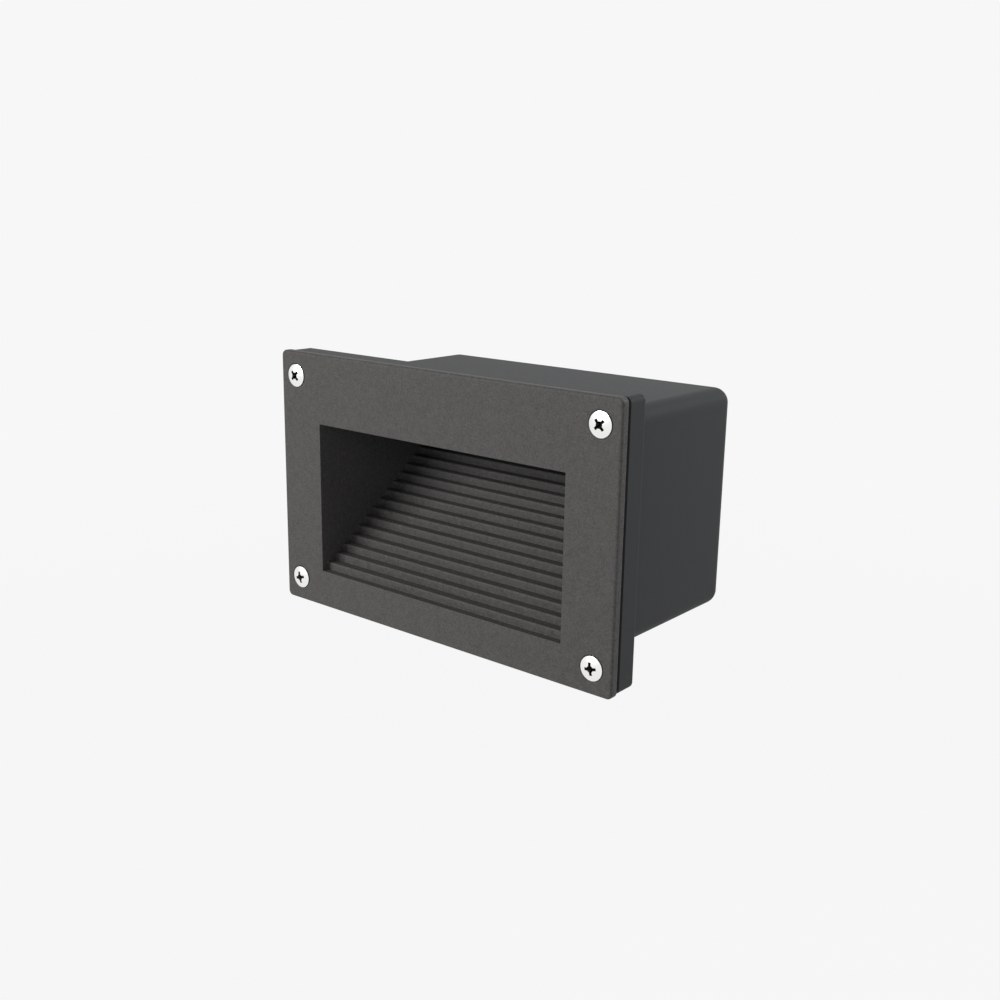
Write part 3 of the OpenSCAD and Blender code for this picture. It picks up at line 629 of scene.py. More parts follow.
FINISHES: dict[Slot, Finish] = {
    # Die-cast aluminium under a sandy coat: dark warm grey, flat, with a soft light along its round edges
    Slot.CASTING: PowderCoat("textured_powder_coat", "#3a3a39", 0.55),
    # Injection-moulded box: smooth and even, a little colder than the coat, with hardly a reflection
    Slot.BOX: Moulded("black_polypropylene", "#434445", 0.45, gloss=0.02),
    # Polished screw heads: nearly white, because they mirror the pale room
    Slot.STAINLESS: Metal("polished_stainless_steel", "#f7f7f5", 0.22, shade="#efefed"),
    # Bent sheet and small screws out of the plating bath: cool grey in soft spangles
    Slot.ZINC: ZincSheet("zinc_plated_steel", "#bfc2c6", 0.36, shade="#b1b5ba"),
    # Turned inserts, barrels and tags: warm yellow under fine tool marks
    Slot.BRASS: Metal("turned_brass", "#d9b35c", 0.28, shade="#b98f3e"),
    # Gaskets and seals: nearly black and without shine, so each joint reads as a dark line
    Slot.RUBBER: Rubber("black_silicone_rubber", "#0b0b0b", 0.85, dust="#141414"),
    # Bed of the glass: milky white and dull
    Slot.SILICONE: Rubber("white_silicone_rubber", "#d9d8d3", 0.6, dust="#e6e5e0"),
    # Moulded gland: black with a satin skin
    Slot.NYLON: Moulded("black_nylon", "#1b1b1c", 0.36, peel_mm=0.6, peel_depth_mm=0.01),
    # Window of the light chamber: clear, with a faint green cast
    Slot.GLASS: ToughGlass("toughened_glass", "#f2faf7", 0.02),
    # Lacquered light board: white, with the tracks as faint steps
    Slot.WHITE_BOARD: SolderMask("white_solder_mask", "#f0f0ec", 0.45),
    # Fill of a light chip: strong yellow below a glossy skin
    Slot.PHOSPHOR: Phosphor("yellow_phosphor", "#f5cf3c", 0.4),
    # Pad that carries heat to the casting: dull grey blue
    Slot.PAD: Rubber("filled_silicone_pad", "#7d93ad", 0.8, dust="#8fa3ba"),
    # Driver case, terminal block and chip frames: white moulding that lets a little light into its skin
    Slot.WHITE_CASE: Moulded("white_polycarbonate", "#e3e3de", 0.38, peel_depth_mm=0.01, glow=0.05),
    # Lacquered driver board: green, lighter over its tracks
    Slot.GREEN_BOARD: SolderMask("green_solder_mask", "#0c4a24", 0.35, track="#16602f", track_mm=1.0),
    # Extruded sleeves of the leads: plain strong colours with a satin skin
    Slot.RED: Moulded("red_pvc_insulation", "#b01c16", 0.4, edge_mm=0.05),
    Slot.BLACK: Moulded("black_pvc_insulation", "#191919", 0.4, edge_mm=0.05),
    Slot.BROWN: Moulded("brown_pvc_insulation", "#5c3418", 0.4, edge_mm=0.05),
    Slot.BLUE: Moulded("blue_pvc_insulation", "#1f4fae", 0.4, edge_mm=0.05),
    Slot.GREEN: Moulded("green_pvc_insulation", "#2f8a2c", 0.4, edge_mm=0.05),
}

# A screw's recess gets a dark, rough steel. This is painted shade that stands in for the shade inside the
# recess, not a colour the steel has
RECESS_PAINTED_SHADE = Metal("steel_with_painted_recess_shade", "#4a4540", 0.6, shade="#2e2a27")


@dataclass
class PaintShop:
    """Builds each material once and puts it on pieces.

    Attributes:
        built: The materials made so far.
    """

    built: dict[Finish, bpy.types.Material] = field(default_factory=dict)

    def material(self, finish: Finish) -> bpy.types.Material:
        """Look a finish's material up, and make it on first use.

        Args:
            finish: The finish.

        Returns:
            Its material.
        """
        if finish not in self.built:
            self.built[finish] = finish.build()
        return self.built[finish]

    def coat(self, piece: bpy.types.Object, slot: Slot) -> None:
        """Give a piece its finish, and a screw's recess the dark steel of painted shade.

        Args:
            piece: A mesh. Faces of its second material are a recess.
            slot: The record's slot.
        """
        if not piece.data.materials:
            piece.data.materials.append(None)
        for number, place in enumerate(piece.material_slots):
            recess = number > 0 and "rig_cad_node" not in piece
            # A screw's recess gets painted shade in place of its steel finish
            place.material = self.material(RECESS_PAINTED_SHADE if recess else FINISHES[slot])


# Modelling


def in_scene(name: str, data: bpy.types.ID) -> bpy.types.Object:
    """Put data into the scene as a new object.

    Args:
        name: The object's name.
        data: Its mesh, curve, lamp or camera.

    Returns:
        The object.
    """
    item = bpy.data.objects.new(name, data)
    bpy.context.scene.collection.objects.link(item)
    return item


def worked_out(item: bpy.types.Object) -> Mesh:
    """Work out the shape that an object has in the scene, with its modifiers.

    Args:
        item: The object.

    Returns:
        Its shape as a new mesh.
    """
    data = bpy.data.meshes.new_from_object(item.evaluated_get(bpy.context.evaluated_depsgraph_get()))
    mesh = bmesh.new()
    mesh.from_mesh(data)
    bpy.data.meshes.remove(data)
    return mesh


def quarter_turn() -> list[float]:
    """Return the angles of a quarter turn, cut into equal stretches."""
    return [i / ARC_STRETCHES * math.pi / 2 for i in range(ARC_STRETCHES + 1)]


def turned(profile: Profile, segments: int = 48, ring: bool = False) -> Mesh:
    """Turn a profile round the Z axis.

    Args:
        profile: Points as (radius, height) in millimetres.
        segments: Facets round the axis.
        ring: Whether the profile is a closed outline that stays clear of the axis.

    Returns:
        A closed mesh in metres.
    """
    mesh = bmesh.new()
    points = [mesh.verts.new((r * MM, 0, z * MM)) for r, z in profile]
    edges = [mesh.edges.new(pair) for pair in zip(points, points[1:])]
    if ring:
        edges.append(mesh.edges.new((points[-1], points[0])))
    bmesh.ops.spin(
        mesh,
        geom=points + edges,
        cent=(0, 0, 0),
        axis=(0, 0, 1),
        dvec=(0, 0, 0),
        angle=math.tau,
        steps=segments,
        use_merge=True,
        use_duplicate=False,
    )
    return closed(mesh)


def closed(mesh: Mesh) -> Mesh:
    """Merge doubles and turn every face outwards.

    Args:
        mesh: The mesh, which is changed.

    Returns:
        The same mesh.
    """
    bmesh.ops.remove_doubles(mesh, verts=mesh.verts, dist=MERGE_MM * MM)
    bmesh.ops.recalc_face_normals(mesh, faces=mesh.faces)
    return mesh


def thread(core_r: float, crest_r: float, low: float, high: float, pitch: float) -> Mesh:
    """Wind a thread's ridge round the Z axis, run out at both ends.

    Args:
        core_r: Radius of the core.
        crest_r: Radius of the crest.
        low: Height of the first turn.
        high: Height of the last turn.
        pitch: Rise of one turn.

    Returns:
        A closed helical ridge in metres.
    """
    per_turn, ridge_share, crest_share = 20, 0.42, 0.2
    # The ridge's foot lies this far inside the core, so that it leaves no gap
    sink = 0.12
    turns = (high - low) / pitch
    steps = round(turns * per_turn)
    foot = core_r - sink
    half = ridge_share * pitch
    mesh = bmesh.new()
    ridge = ((foot, -half), (crest_r, 0), (foot, half))
    corners = [mesh.verts.new((r * MM, 0, (low + z) * MM)) for r, z in ridge]
    mesh.faces.new(corners)
    bmesh.ops.spin(
        mesh,
        geom=mesh.verts[:] + mesh.edges[:] + mesh.faces[:],
        cent=(0, 0, 0),
        axis=(0, 0, 1),
        dvec=(0, 0, (high - low) / steps * MM),
        angle=math.tau * steps / per_turn,
        steps=steps,
        use_merge=False,
        use_duplicate=False,
    )
    for corner in mesh.verts:
        reach = Vector((corner.co.x, corner.co.y)).length / MM
        run = min(corner.co.z / MM - low, high - corner.co.z / MM) / pitch
        if abs(reach - crest_r) < crest_share * (crest_r - core_r) and run < 1:
            share = (core_r + (crest_r - core_r) * max(run, 0)) / reach
            corner.co.x *= share
            corner.co.y *= share
    return closed(mesh)


def joined(*parts: Mesh) -> Mesh:
    """Join meshes into one and free the others.

    Args:
        *parts: Meshes; the first one takes the rest in.

    Returns:
        The first mesh.
    """
    whole = parts[0]
    for part in parts[1:]:
        data = bpy.data.meshes.new("joining")
        part.to_mesh(data)
        whole.from_mesh(data)
        bpy.data.meshes.remove(data)
        part.free()
    return whole


def combined(body: Mesh, tool: Mesh, operation: str) -> Mesh:
    """Cut or intersect one closed mesh with another.

    Args:
        body: The mesh that is worked on.
        tool: The cutter.
        operation: DIFFERENCE or INTERSECT.

    Returns:
        The result as a new mesh; both inputs are freed.
    """
    objects = []
    # Faces cut by the tool take the second material. On a screw this is the recess, which gets painted shade
    for face in tool.faces:
        face.material_index = 1
    for mesh in (body, tool):
        data = bpy.data.meshes.new("blank")
        data.materials.append(None)
        data.materials.append(None)
        mesh.to_mesh(data)
        mesh.free()
        objects.append(in_scene("blank", data))
    cut = objects[0].modifiers.new("cut", "BOOLEAN")
    cut.operation = operation
    cut.object = objects[1]
    cut.solver = "EXACT"
    result = worked_out(objects[0])
    for item in objects:
        blank = item.data
        bpy.data.objects.remove(item)
        bpy.data.meshes.remove(blank)
    return result


def prism(sides: int, across: float, low: float, high: float) -> Mesh:
    """Make a regular prism round the Z axis, with corners on the X axis.

    Args:
        sides: Number of sides.
        across: Width across the flats.
        low: Height of its foot.
        high: Height of its top.

    Returns:
        A closed mesh in metres.
    """
    mesh = bmesh.new()
    radius = across / 2 / math.cos(math.pi / sides) * MM
    made = bmesh.ops.create_cone(
        mesh, cap_ends=True, segments=sides, radius1=radius, radius2=radius, depth=(high - low) * MM
    )
    turn = Matrix.Rotation(math.pi / 2, 4, "Z")
    lift = Matrix.Translation((0, 0, (high + low) / 2 * MM))
    bmesh.ops.transform(mesh, matrix=lift @ turn, verts=made["verts"])
    return closed(mesh)


@dataclass
class CrossScrew:
    """A screw with a cross recess. Its head points up Z and is seated at z = 0.

    Attributes:
        head: Form of the head.
        head_r: Radius of the head.
        head_h: Height of a pan head, or of a raised head's dome.
        shank_r: Radius of the thread's crest.
        length: Length below z = 0.
        pitch: Pitch of the thread.
        recess_reach: Length of the recess from tip to tip, as a share of the head's radius.
        recess_depth: Depth of the recess.
        smooth: Length of plain shank below the head.
        core_share: Radius of the thread's core, as a share of its crest's.
        crest_ease: How far the crest stays inside the shank's radius.
        point_share: Chamfer of the tip, as a share of the shank's radius.
        wing_share: Width of a wing of the recess, as a share of the head's radius.
        taper_share: Size of the recess at its foot, as a share of that at its mouth.
        centre_share: Radius of the recess's middle, as a share of the head's radius.
        rim: Height of a raised head's rim above and below its seat.
        rim_edge: Chamfer of a flat head's rim.
        overrun: How far the recess's cutters stand out of the head.
    """

    head: Head
    head_r: float
    head_h: float
    shank_r: float
    length: float
    pitch: float
    recess_reach: float = 1.2
    recess_depth: float = 1.2
    smooth: float = 0.3
    core_share: ClassVar[float] = 0.82
    crest_ease: ClassVar[float] = 0.01
    point_share: ClassVar[float] = 0.4
    wing_share: ClassVar[float] = 0.27
    taper_share: ClassVar[float] = 0.6
    centre_share: ClassVar[float] = 0.3
    rim: ClassVar[tuple[float, float]] = (0.04, 0.06)
    rim_edge: ClassVar[float] = 0.08
    overrun: ClassVar[float] = 0.5

    def head_profile(self) -> list[tuple[float, float]]:
        """Draw the head's outline.

        Returns:
            Points as (radius, height) from the top's middle down to the shank, in millimetres.
        """
        r, h = self.head_r, self.head_h
        if self.head is Head.RAISED:
            sphere = (r * r + h * h) / (2 * h)
            steps = [r * i / ARC_STRETCHES for i in range(ARC_STRETCHES)]
            dome = [(s, math.sqrt(sphere**2 - s**2) - sphere + h) for s in steps]
            return [*dome, (r, self.rim[0]), (r, -self.rim[1]), (self.shank_r, self.shank_r - r)]
        if self.head is Head.FLAT:
            edge = self.rim_edge
            return [(0, 0), (r - edge, 0), (r, -edge), (self.shank_r, self.shank_r - r)]
        edge = h / 2
        arc = [(r - edge + edge * math.sin(a), h - edge + edge * math.cos(a)) for a in quarter_turn()]
        return [(0, h), *arc, (r, 0), (self.shank_r, 0)]

    def top(self) -> float:
        """Return the height of the head's top above its seat."""
        return 0.0 if self.head is Head.FLAT else self.head_h

    def recess(self) -> Mesh:
        """Make the cutter of the cross recess.

        Returns:
            Four wings round the axis, which narrow towards their foot.
        """
        wing = self.head_r * self.wing_share
        mesh = bmesh.new()
        made = bmesh.ops.create_cube(mesh, size=1.0)
        size = (wing * MM, wing * MM, (self.recess_depth + self.overrun) * MM)
        bmesh.ops.scale(mesh, vec=size, verts=made["verts"])
        lift = Vector((0, 0, (self.top() + (self.overrun - self.recess_depth) / 2) * MM))
        bmesh.ops.translate(mesh, vec=lift, verts=made["verts"])
        reach = (self.head_r * self.recess_reach - wing) / 2
        for face in [f for f in mesh.faces if abs(f.normal.z) < 0.5]:
            outwards = face.normal.copy()
            arm = bmesh.ops.extrude_discrete_faces(mesh, faces=[face])["faces"][0]
            bmesh.ops.translate(mesh, vec=outwards * reach * MM, verts=arm.verts)
        floor = min(v.co.z for v in mesh.verts)
        low = [v for v in mesh.verts if v.co.z < floor + LEVEL_MM * MM]
        bmesh.ops.scale(mesh, vec=(self.taper_share, self.taper_share, 1), verts=low)
        return closed(mesh)

    def mesh(self, place: Matrix, turn: float = 0.0) -> Mesh:
        """Make the screw.

        Args:
            place: Where the screw's seat lies, in metres.
            turn: Turn of the recess in degrees, which differs from screw to screw as on driven ones.

        Returns:
            The finished screw in metres.
        """
        core = self.shank_r * self.core_share
        point = self.shank_r * self.point_share
        head = self.head_profile()
        neck = head[-1][1] - self.smooth
        outline = [
            *head,
            (self.shank_r, neck),
            (core, neck - (self.shank_r - core)),
            (core, point - self.length),
            (core - point, -self.length),
            (0, -self.length),
        ]
        blank = combined(turned(outline, segments=40), self.recess(), "DIFFERENCE")
        top, centre = self.top(), self.head_r * self.centre_share
        above = top + self.overrun
        tapered = [(0, above), (centre, above), (centre, top), (0, top - self.recess_depth)]
        cone = turned(tapered, segments=16)
        blank = combined(blank, cone, "DIFFERENCE")
        first, last = point - self.length, neck - self.pitch / 2
        if last - first > self.pitch:
            blank = joined(blank, thread(core, self.shank_r - self.crest_ease, first, last, self.pitch))
        seated = place @ Matrix.Rotation(math.radians(turn), 4, "Z")
        bmesh.ops.transform(blank, matrix=seated, verts=blank.verts)
        return blank


def at(x: float, y: float, z: float, turn: float = 0.0, axis: str = "X") -> Matrix:
    """Return the place of a piece.

    Args:
        x: Place across, in millimetres.
        y: Place into the wall.
        z: Place upwards.
        turn: Turn in degrees.
        axis: The axis of that turn.

    Returns:
        A matrix in metres.
    """
    return Matrix.Translation(Vector((x, y, z)) * MM) @ Matrix.Rotation(math.radians(turn), 4, axis)


@dataclass
class SubAssembly:
    """A part of the light that is put together on its own.

    Attributes:
        shop: Where the finishes come from.
        body: The body that its pieces ride on.
        kept: Nodes whose shape is right, each with its slot.
        smooth_deg: Edges flatter than this are shaded smooth.
    """

    smooth_deg: ClassVar[float] = 35.0
    shop: PaintShop
    body: Body = Body.FRONT_UNIT
    kept: dict[str, Slot] = field(default_factory=dict)

    def build(self) -> None:
        """Finish the kept nodes; sub-assemblies with new pieces add them here."""
        for node, slot in self.kept.items():
            self.shop.coat(frame["nodes"][node], slot)
            LOG.info("%s: kept, %s", node, FINISHES[slot].name)

    def add(
        self,
        name: str,
        mesh: Mesh,
        slot: Slot,
        replaces: Sequence[str] = (),
        body: Body | None = None,
    ) -> bpy.types.Object:
        """Turn a finished mesh into a piece of the light.

        Args:
            name: The piece's name.
            mesh: Its mesh in metres, which is freed.
            slot: The record's material slot.
            replaces: Nodes that the piece stands for.
            body: The body that it rides on, if not the sub-assembly's own.

        Returns:
            The piece.
        """
        data = bpy.data.meshes.new(name)
        for _ in range(1 + max(face.material_index for face in mesh.faces)):
            data.materials.append(None)
        for face in mesh.faces:
            face.smooth = True
        limit = math.radians(self.smooth_deg)
        for edge in mesh.edges:
            edge.smooth = len(edge.link_faces) == 2 and edge.calc_face_angle(math.pi) < limit
        mesh.to_mesh(data)
        mesh.free()
        piece = in_scene(name, data)
        self.shop.coat(piece, slot)
        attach(piece, (body or self.body).value)
        if replaces:
            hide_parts(*replaces)
        LOG.info("%s: %d faces, %s", name, len(data.polygons), FINISHES[slot].name)
        return piece


# Sub-assemblies


@dataclass
class FaceScrews(SubAssembly):
    """The four stainless screws that hold the front unit, and the brass inserts that they bite into.

    Attributes:
        screw: The form of each screw.
        across: Distance of a screw from the middle.
        up: Its height above or below the middle.
        seat: Depth of the plate's face.
        insert_r: Outer radius of an insert.
        insert_bore: Radius of its bore.
        insert_edge: Chamfer of its four edges.
        knurls: Number of its knurls.
        knurl_depth: Depth of the grooves between them.
    """

    screw: CrossScrew = field(
        default_factory=lambda: CrossScrew(
            Head.RAISED, head_r=3.8, head_h=0.8, shank_r=2.0, length=10.0, pitch=0.7, recess_depth=1.9
        )
    )
    across: float = 62.8
    up: float = 35.8
    seat: float = -12.0
    insert_r: float = 3.2
    insert_bore: float = 2.08
    insert_edge: float = 0.35
    knurls: int = 36
    knurl_depth: float = 0.25

    def build(self) -> None:
        """Make the screws and the inserts."""
        corners = (
            ("top_left", -1, 1, 45, Body.SCREW_TOP_LEFT),
            ("top_right", 1, 1, 42, Body.SCREW_TOP_RIGHT),
            ("bottom_right", 1, -1, 10, Body.SCREW_BOTTOM_RIGHT),
            ("bottom_left", -1, -1, 15, Body.SCREW_BOTTOM_LEFT),
        )
        inserts = []
        low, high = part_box("thread_inserts")
        for corner, side, row, turn, body in corners:
            node = f"face_screw_{corner}"
            place = at(side * self.across, self.seat, row * self.up, 90)
            self.add(f"{node}_turned", self.screw.mesh(place, turn), Slot.STAINLESS, [node], body)
            ring = self.insert(low.y / MM, high.y / MM)
            bmesh.ops.transform(ring, matrix=at(side * self.across, 0, row * self.up, -90), verts=ring.verts)
            inserts.append(ring)
        self.add("thread_inserts_knurled", joined(*inserts), Slot.BRASS, ["thread_inserts"], Body.BACK_BOX)

    def insert(self, front: float, rear: float) -> Mesh:
        """Make one insert along Z.

        Args:
            front: Height of its front face.
            rear: Height of its rear face.

        Returns:
            A chamfered, knurled ring.
        """
        r, bore, edge = self.insert_r, self.insert_bore, self.insert_edge
        outline = [
            (bore, rear - edge), (bore + edge, rear), (r - edge, rear), (r, rear - edge),
            (r, front + edge), (r - edge, front), (bore + edge, front), (bore, front + edge),
        ]
        ring = turned(outline, segments=2 * self.knurls, ring=True)
        for vert in ring.verts:
            reach = Vector((vert.co.x, vert.co.y)).length
            number = round(math.atan2(vert.co.y, vert.co.x) / math.tau * 2 * self.knurls)
            if reach > (r - self.knurl_depth / 2) * MM and number % 2:
                vert.co.x *= 1 - self.knurl_depth / r
                vert.co.y *= 1 - self.knurl_depth / r
        return ring


@dataclass
class LightEngine(SubAssembly):
    """Board, chips, glass and seals in the light chamber above the steps.

    Attributes:
        chip_count: Number of light chips.
        chip_side: Side of a chip.
        chip_wall: Width of the rim round a chip's well.
        chip_slope: Width of the well's sloped wall.
        chip_well: Depth of the well.
        fill_side: Side of the phosphor in the well.
        fill_height: Its thickness without the crown.
        fill_middle: Height of its middle above the chip's lower face.
        crown: Height of its crown.
        crown_edge: Width of the crown's sloped edge.
        lid_screw: The form of a lid screw.
        lid_screw_places: Where the lid screws stand, as (x, y).
        lid_top: Height of the lid's top.
    """

    kept: dict[str, Slot] = field(
        default_factory=lambda: {
            "glass_bed": Slot.SILICONE,
            "lens_glass": Slot.GLASS,
            "led_board": Slot.WHITE_BOARD,
            "thermal_pad": Slot.PAD,
            "lid_gasket": Slot.RUBBER,
            "chamber_lid": Slot.CASTING,
            "lead_grommet": Slot.RUBBER,
        }
    )
    chip_count: int = 9
    chip_side: float = 3.2
    chip_wall: float = 0.3
    chip_slope: float = 0.2
    chip_well: float = 0.25
    fill_side: float = 2.5
    fill_height: float = 0.16
    fill_middle: float = 0.13
    crown: float = 0.04
    crown_edge: float = 0.35
    lid_screw: CrossScrew = field(
        default_factory=lambda: CrossScrew(
            Head.FLAT, head_r=2.7, head_h=0.0, shank_r=1.5, length=7.0, pitch=0.5, recess_depth=1.35
        )
    )
    lid_screw_places: tuple[tuple[float, float], ...] = (
        (-46.6, 5.5), (-46.6, 18.5), (46.6, 5.5), (46.6, 18.5), (0.0, -2.6), (0.0, 26.6),
    )
    lid_top: float = 33.2

    def build(self) -> None:
        """Finish the kept nodes, then make the chips and the lid's screws."""
        super().build()
        low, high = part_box("led_chips")
        pitch = (high.x - low.x - self.chip_side * MM) / (self.chip_count - 1)
        first = low.x + self.chip_side / 2 * MM
        frames, domes = bmesh.new(), bmesh.new()
        for i in range(self.chip_count):
            middle = Vector((first + i * pitch, (low.y + high.y) / 2, (low.z + high.z) / 2))
            frames = joined(frames, self.chip_frame(middle, high.z - low.z))
            domes = joined(domes, self.chip_dome(middle, low.z))
        self.add("chip_frames", frames, Slot.WHITE_CASE, ["led_chips"])
        self.add("chip_phosphor", domes, Slot.PHOSPHOR, ["led_chips"])
        screws = [
            self.lid_screw.mesh(at(x, y, self.lid_top), turn=17 * x + 31 * y)
            for x, y in self.lid_screw_places
        ]
        self.add("lid_screws_turned", joined(*screws), Slot.ZINC, ["lid_screws"])

    def chip_frame(self, middle: Vector, height: float) -> Mesh:
        """Make the moulded frame of one chip.

        Args:
            middle: The chip's middle, in metres.
            height: The chip's height, in metres.

        Returns:
            A box with a sloped well in its lower face.
        """
        mesh = bmesh.new()
        verts = bmesh.ops.create_cube(mesh, size=1.0)["verts"]
        bmesh.ops.scale(mesh, vec=(self.chip_side * MM, self.chip_side * MM, height), verts=verts)
        bmesh.ops.translate(mesh, vec=middle, verts=verts)
        bottom = min(mesh.faces, key=lambda face: face.calc_center_median().z)
        bmesh.ops.inset_individual(mesh, faces=[bottom], thickness=self.chip_wall * MM, depth=0)
        bmesh.ops.inset_individual(
            mesh, faces=[bottom], thickness=self.chip_slope * MM, depth=-self.chip_well * MM
        )
        return mesh

    def chip_dome(self, middle: Vector, low: float) -> Mesh:
        """Make the phosphor that fills one chip's well.

        Args:
            middle: The chip's middle, in metres.
            low: Height of the chip's lower face, in metres.

        Returns:
            A flat pad, slightly crowned.
        """
        mesh = bmesh.new()
        verts = bmesh.ops.create_cube(mesh, size=1.0)["verts"]
        side = self.fill_side * MM
        bmesh.ops.scale(mesh, vec=(side, side, self.fill_height * MM), verts=verts)
        bmesh.ops.translate(mesh, vec=(middle.x, middle.y, low + self.fill_middle * MM), verts=verts)
        bottom = min(mesh.faces, key=lambda face: face.calc_center_median().z)
        bmesh.ops.inset_individual(
            mesh, faces=[bottom], thickness=self.crown_edge * MM, depth=self.crown * MM
        )
        return mesh


@dataclass
class DriverTray(SubAssembly):
    """The bent tray that hangs between the cheeks, with the driver screwed to it.

    Attributes:
        sheet: Thickness of the sheet.
        bend: Outer radius of its bends.
        ear_y: Front and rear of the side ears.
        ear_top: Height of the ears' tops.
        ear_screw: The form of the screws through the ears.
        ear_screw_y: Where they stand.
        ear_screw_z: Their height.
        module_screw: The form of the screws that hold the driver.
        module_screw_x: Where they stand.
        lug_top: Height of the driver's lugs, on which they are seated, above the foot of its case.
    """

    kept: dict[str, Slot] = field(
        default_factory=lambda: {
            "driver_case": Slot.WHITE_CASE,
            "driver_lid": Slot.WHITE_CASE,
            "driver_board": Slot.GREEN_BOARD,
        }
    )
    sheet: float = 1.0
    bend: float = 1.6
    ear_y: tuple[float, float] = (26.0, 43.0)
    ear_top: float = -19.0
    ear_screw: CrossScrew = field(
        default_factory=lambda: CrossScrew(
            Head.PAN, head_r=2.6, head_h=1.7, shank_r=1.5, length=5.0, pitch=0.5, recess_depth=0.95
        )
    )
    ear_screw_y: tuple[float, float] = (30.25, 38.75)
    ear_screw_z: float = -23.56
    module_screw: CrossScrew = field(
        default_factory=lambda: CrossScrew(
            Head.PAN, head_r=2.6, head_h=1.7, shank_r=1.5, length=3.7, pitch=0.5, recess_depth=0.95
        )
    )
    module_screw_x: tuple[float, float] = (-41.0, 23.0)
    lug_top: float = 2.2

    def build(self) -> None:
        """Finish the kept nodes, then make the tray and the screws."""
        super().build()
        self.add("driver_tray_bent", self.tray(), Slot.ZINC, ["driver_tray"])
        case_low, case_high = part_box("driver_case")
        y = (case_low.y + case_high.y) / 2 / MM
        seat = case_low.z / MM + self.lug_top
        screws = [self.module_screw.mesh(at(x, y, seat), turn=29 * x) for x in self.module_screw_x]
        self.add("module_screws_turned", joined(*screws), Slot.ZINC, ["module_screws"])
        head_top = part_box("tray_screws")[1].x / MM
        seat = head_top - self.ear_screw.head_h
        screws = [
            self.ear_screw.mesh(at(side * seat, y, self.ear_screw_z, side * 90, "Y"), turn=13 * y)
            for side in (-1, 1)
            for y in self.ear_screw_y
        ]
        self.add("tray_screws_turned", joined(*screws), Slot.ZINC, ["tray_screws"])

    def tray(self) -> Mesh:
        """Bend the tray from sheet.

        Returns:
            The tray with rounded bends, in metres.
        """
        low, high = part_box("driver_tray")
        half = self.sheet / 2 * MM
        left, right = low.x + half, high.x - half
        front, rear, base = low.y, high.y, low.z + half
        mesh = bmesh.new()
        rows = [front, *(y * MM for y in self.ear_y), rear]
        grid = [[mesh.verts.new((x, y, base)) for y in rows] for x in (left, right)]
        for i in range(len(rows) - 1):
            mesh.faces.new((grid[0][i], grid[1][i], grid[1][i + 1], grid[0][i + 1]))
        bends = [mesh.edges.get((line[1], line[2])) for line in grid]
        for edge in bends:
            ear = bmesh.ops.extrude_edge_only(mesh, edges=[edge])["geom"]
            raised = [g for g in ear if isinstance(g, bmesh.types.BMVert)]
            bmesh.ops.translate(mesh, vec=(0, 0, self.ear_top * MM - base), verts=raised)
        bmesh.ops.bevel(
            mesh,
            geom=bends,
            offset=(self.bend - self.sheet / 2) * MM,
            affect="EDGES",
            segments=4,
            profile=0.5,
            material=-1,
        )
        bmesh.ops.recalc_face_normals(mesh, faces=mesh.faces)
        bmesh.ops.solidify(mesh, geom=mesh.faces[:], thickness=self.sheet * MM)
        bmesh.ops.recalc_face_normals(mesh, faces=mesh.faces)
        return mesh


@dataclass
class Terminals(SubAssembly):
    """The terminal block that takes the supply cable.

    Attributes:
        poles: Where its poles stand.
        rows: Where the clamp screws stand, front and rear.
        seat: Height of the screws' seats.
        screw: The form of a clamp screw.
    """

    kept: dict[str, Slot] = field(
        default_factory=lambda: {"terminal_block": Slot.WHITE_CASE, "terminal_barrels": Slot.BRASS}
    )
    poles: tuple[float, ...] = (30.0, 36.0, 42.0)
    rows: tuple[float, ...] = (38.0, 46.0)
    seat: float = -23.8
    screw: CrossScrew = field(
        default_factory=lambda: CrossScrew(
            Head.PAN,
            head_r=1.6,
            head_h=1.6,
            shank_r=1.1,
            length=1.9,
            pitch=0.4,
            recess_depth=0.8,
            smooth=0.05,
        )
    )

    def build(self) -> None:
        """Finish the kept nodes, then make the clamp screws."""
        super().build()
        screws = [
            self.screw.mesh(at(x, y, self.seat), turn=41 * x + 23 * y)
            for x in self.poles
            for y in self.rows
        ]
        self.add("terminal_screws_turned", joined(*screws), Slot.ZINC, ["terminal_screws"])


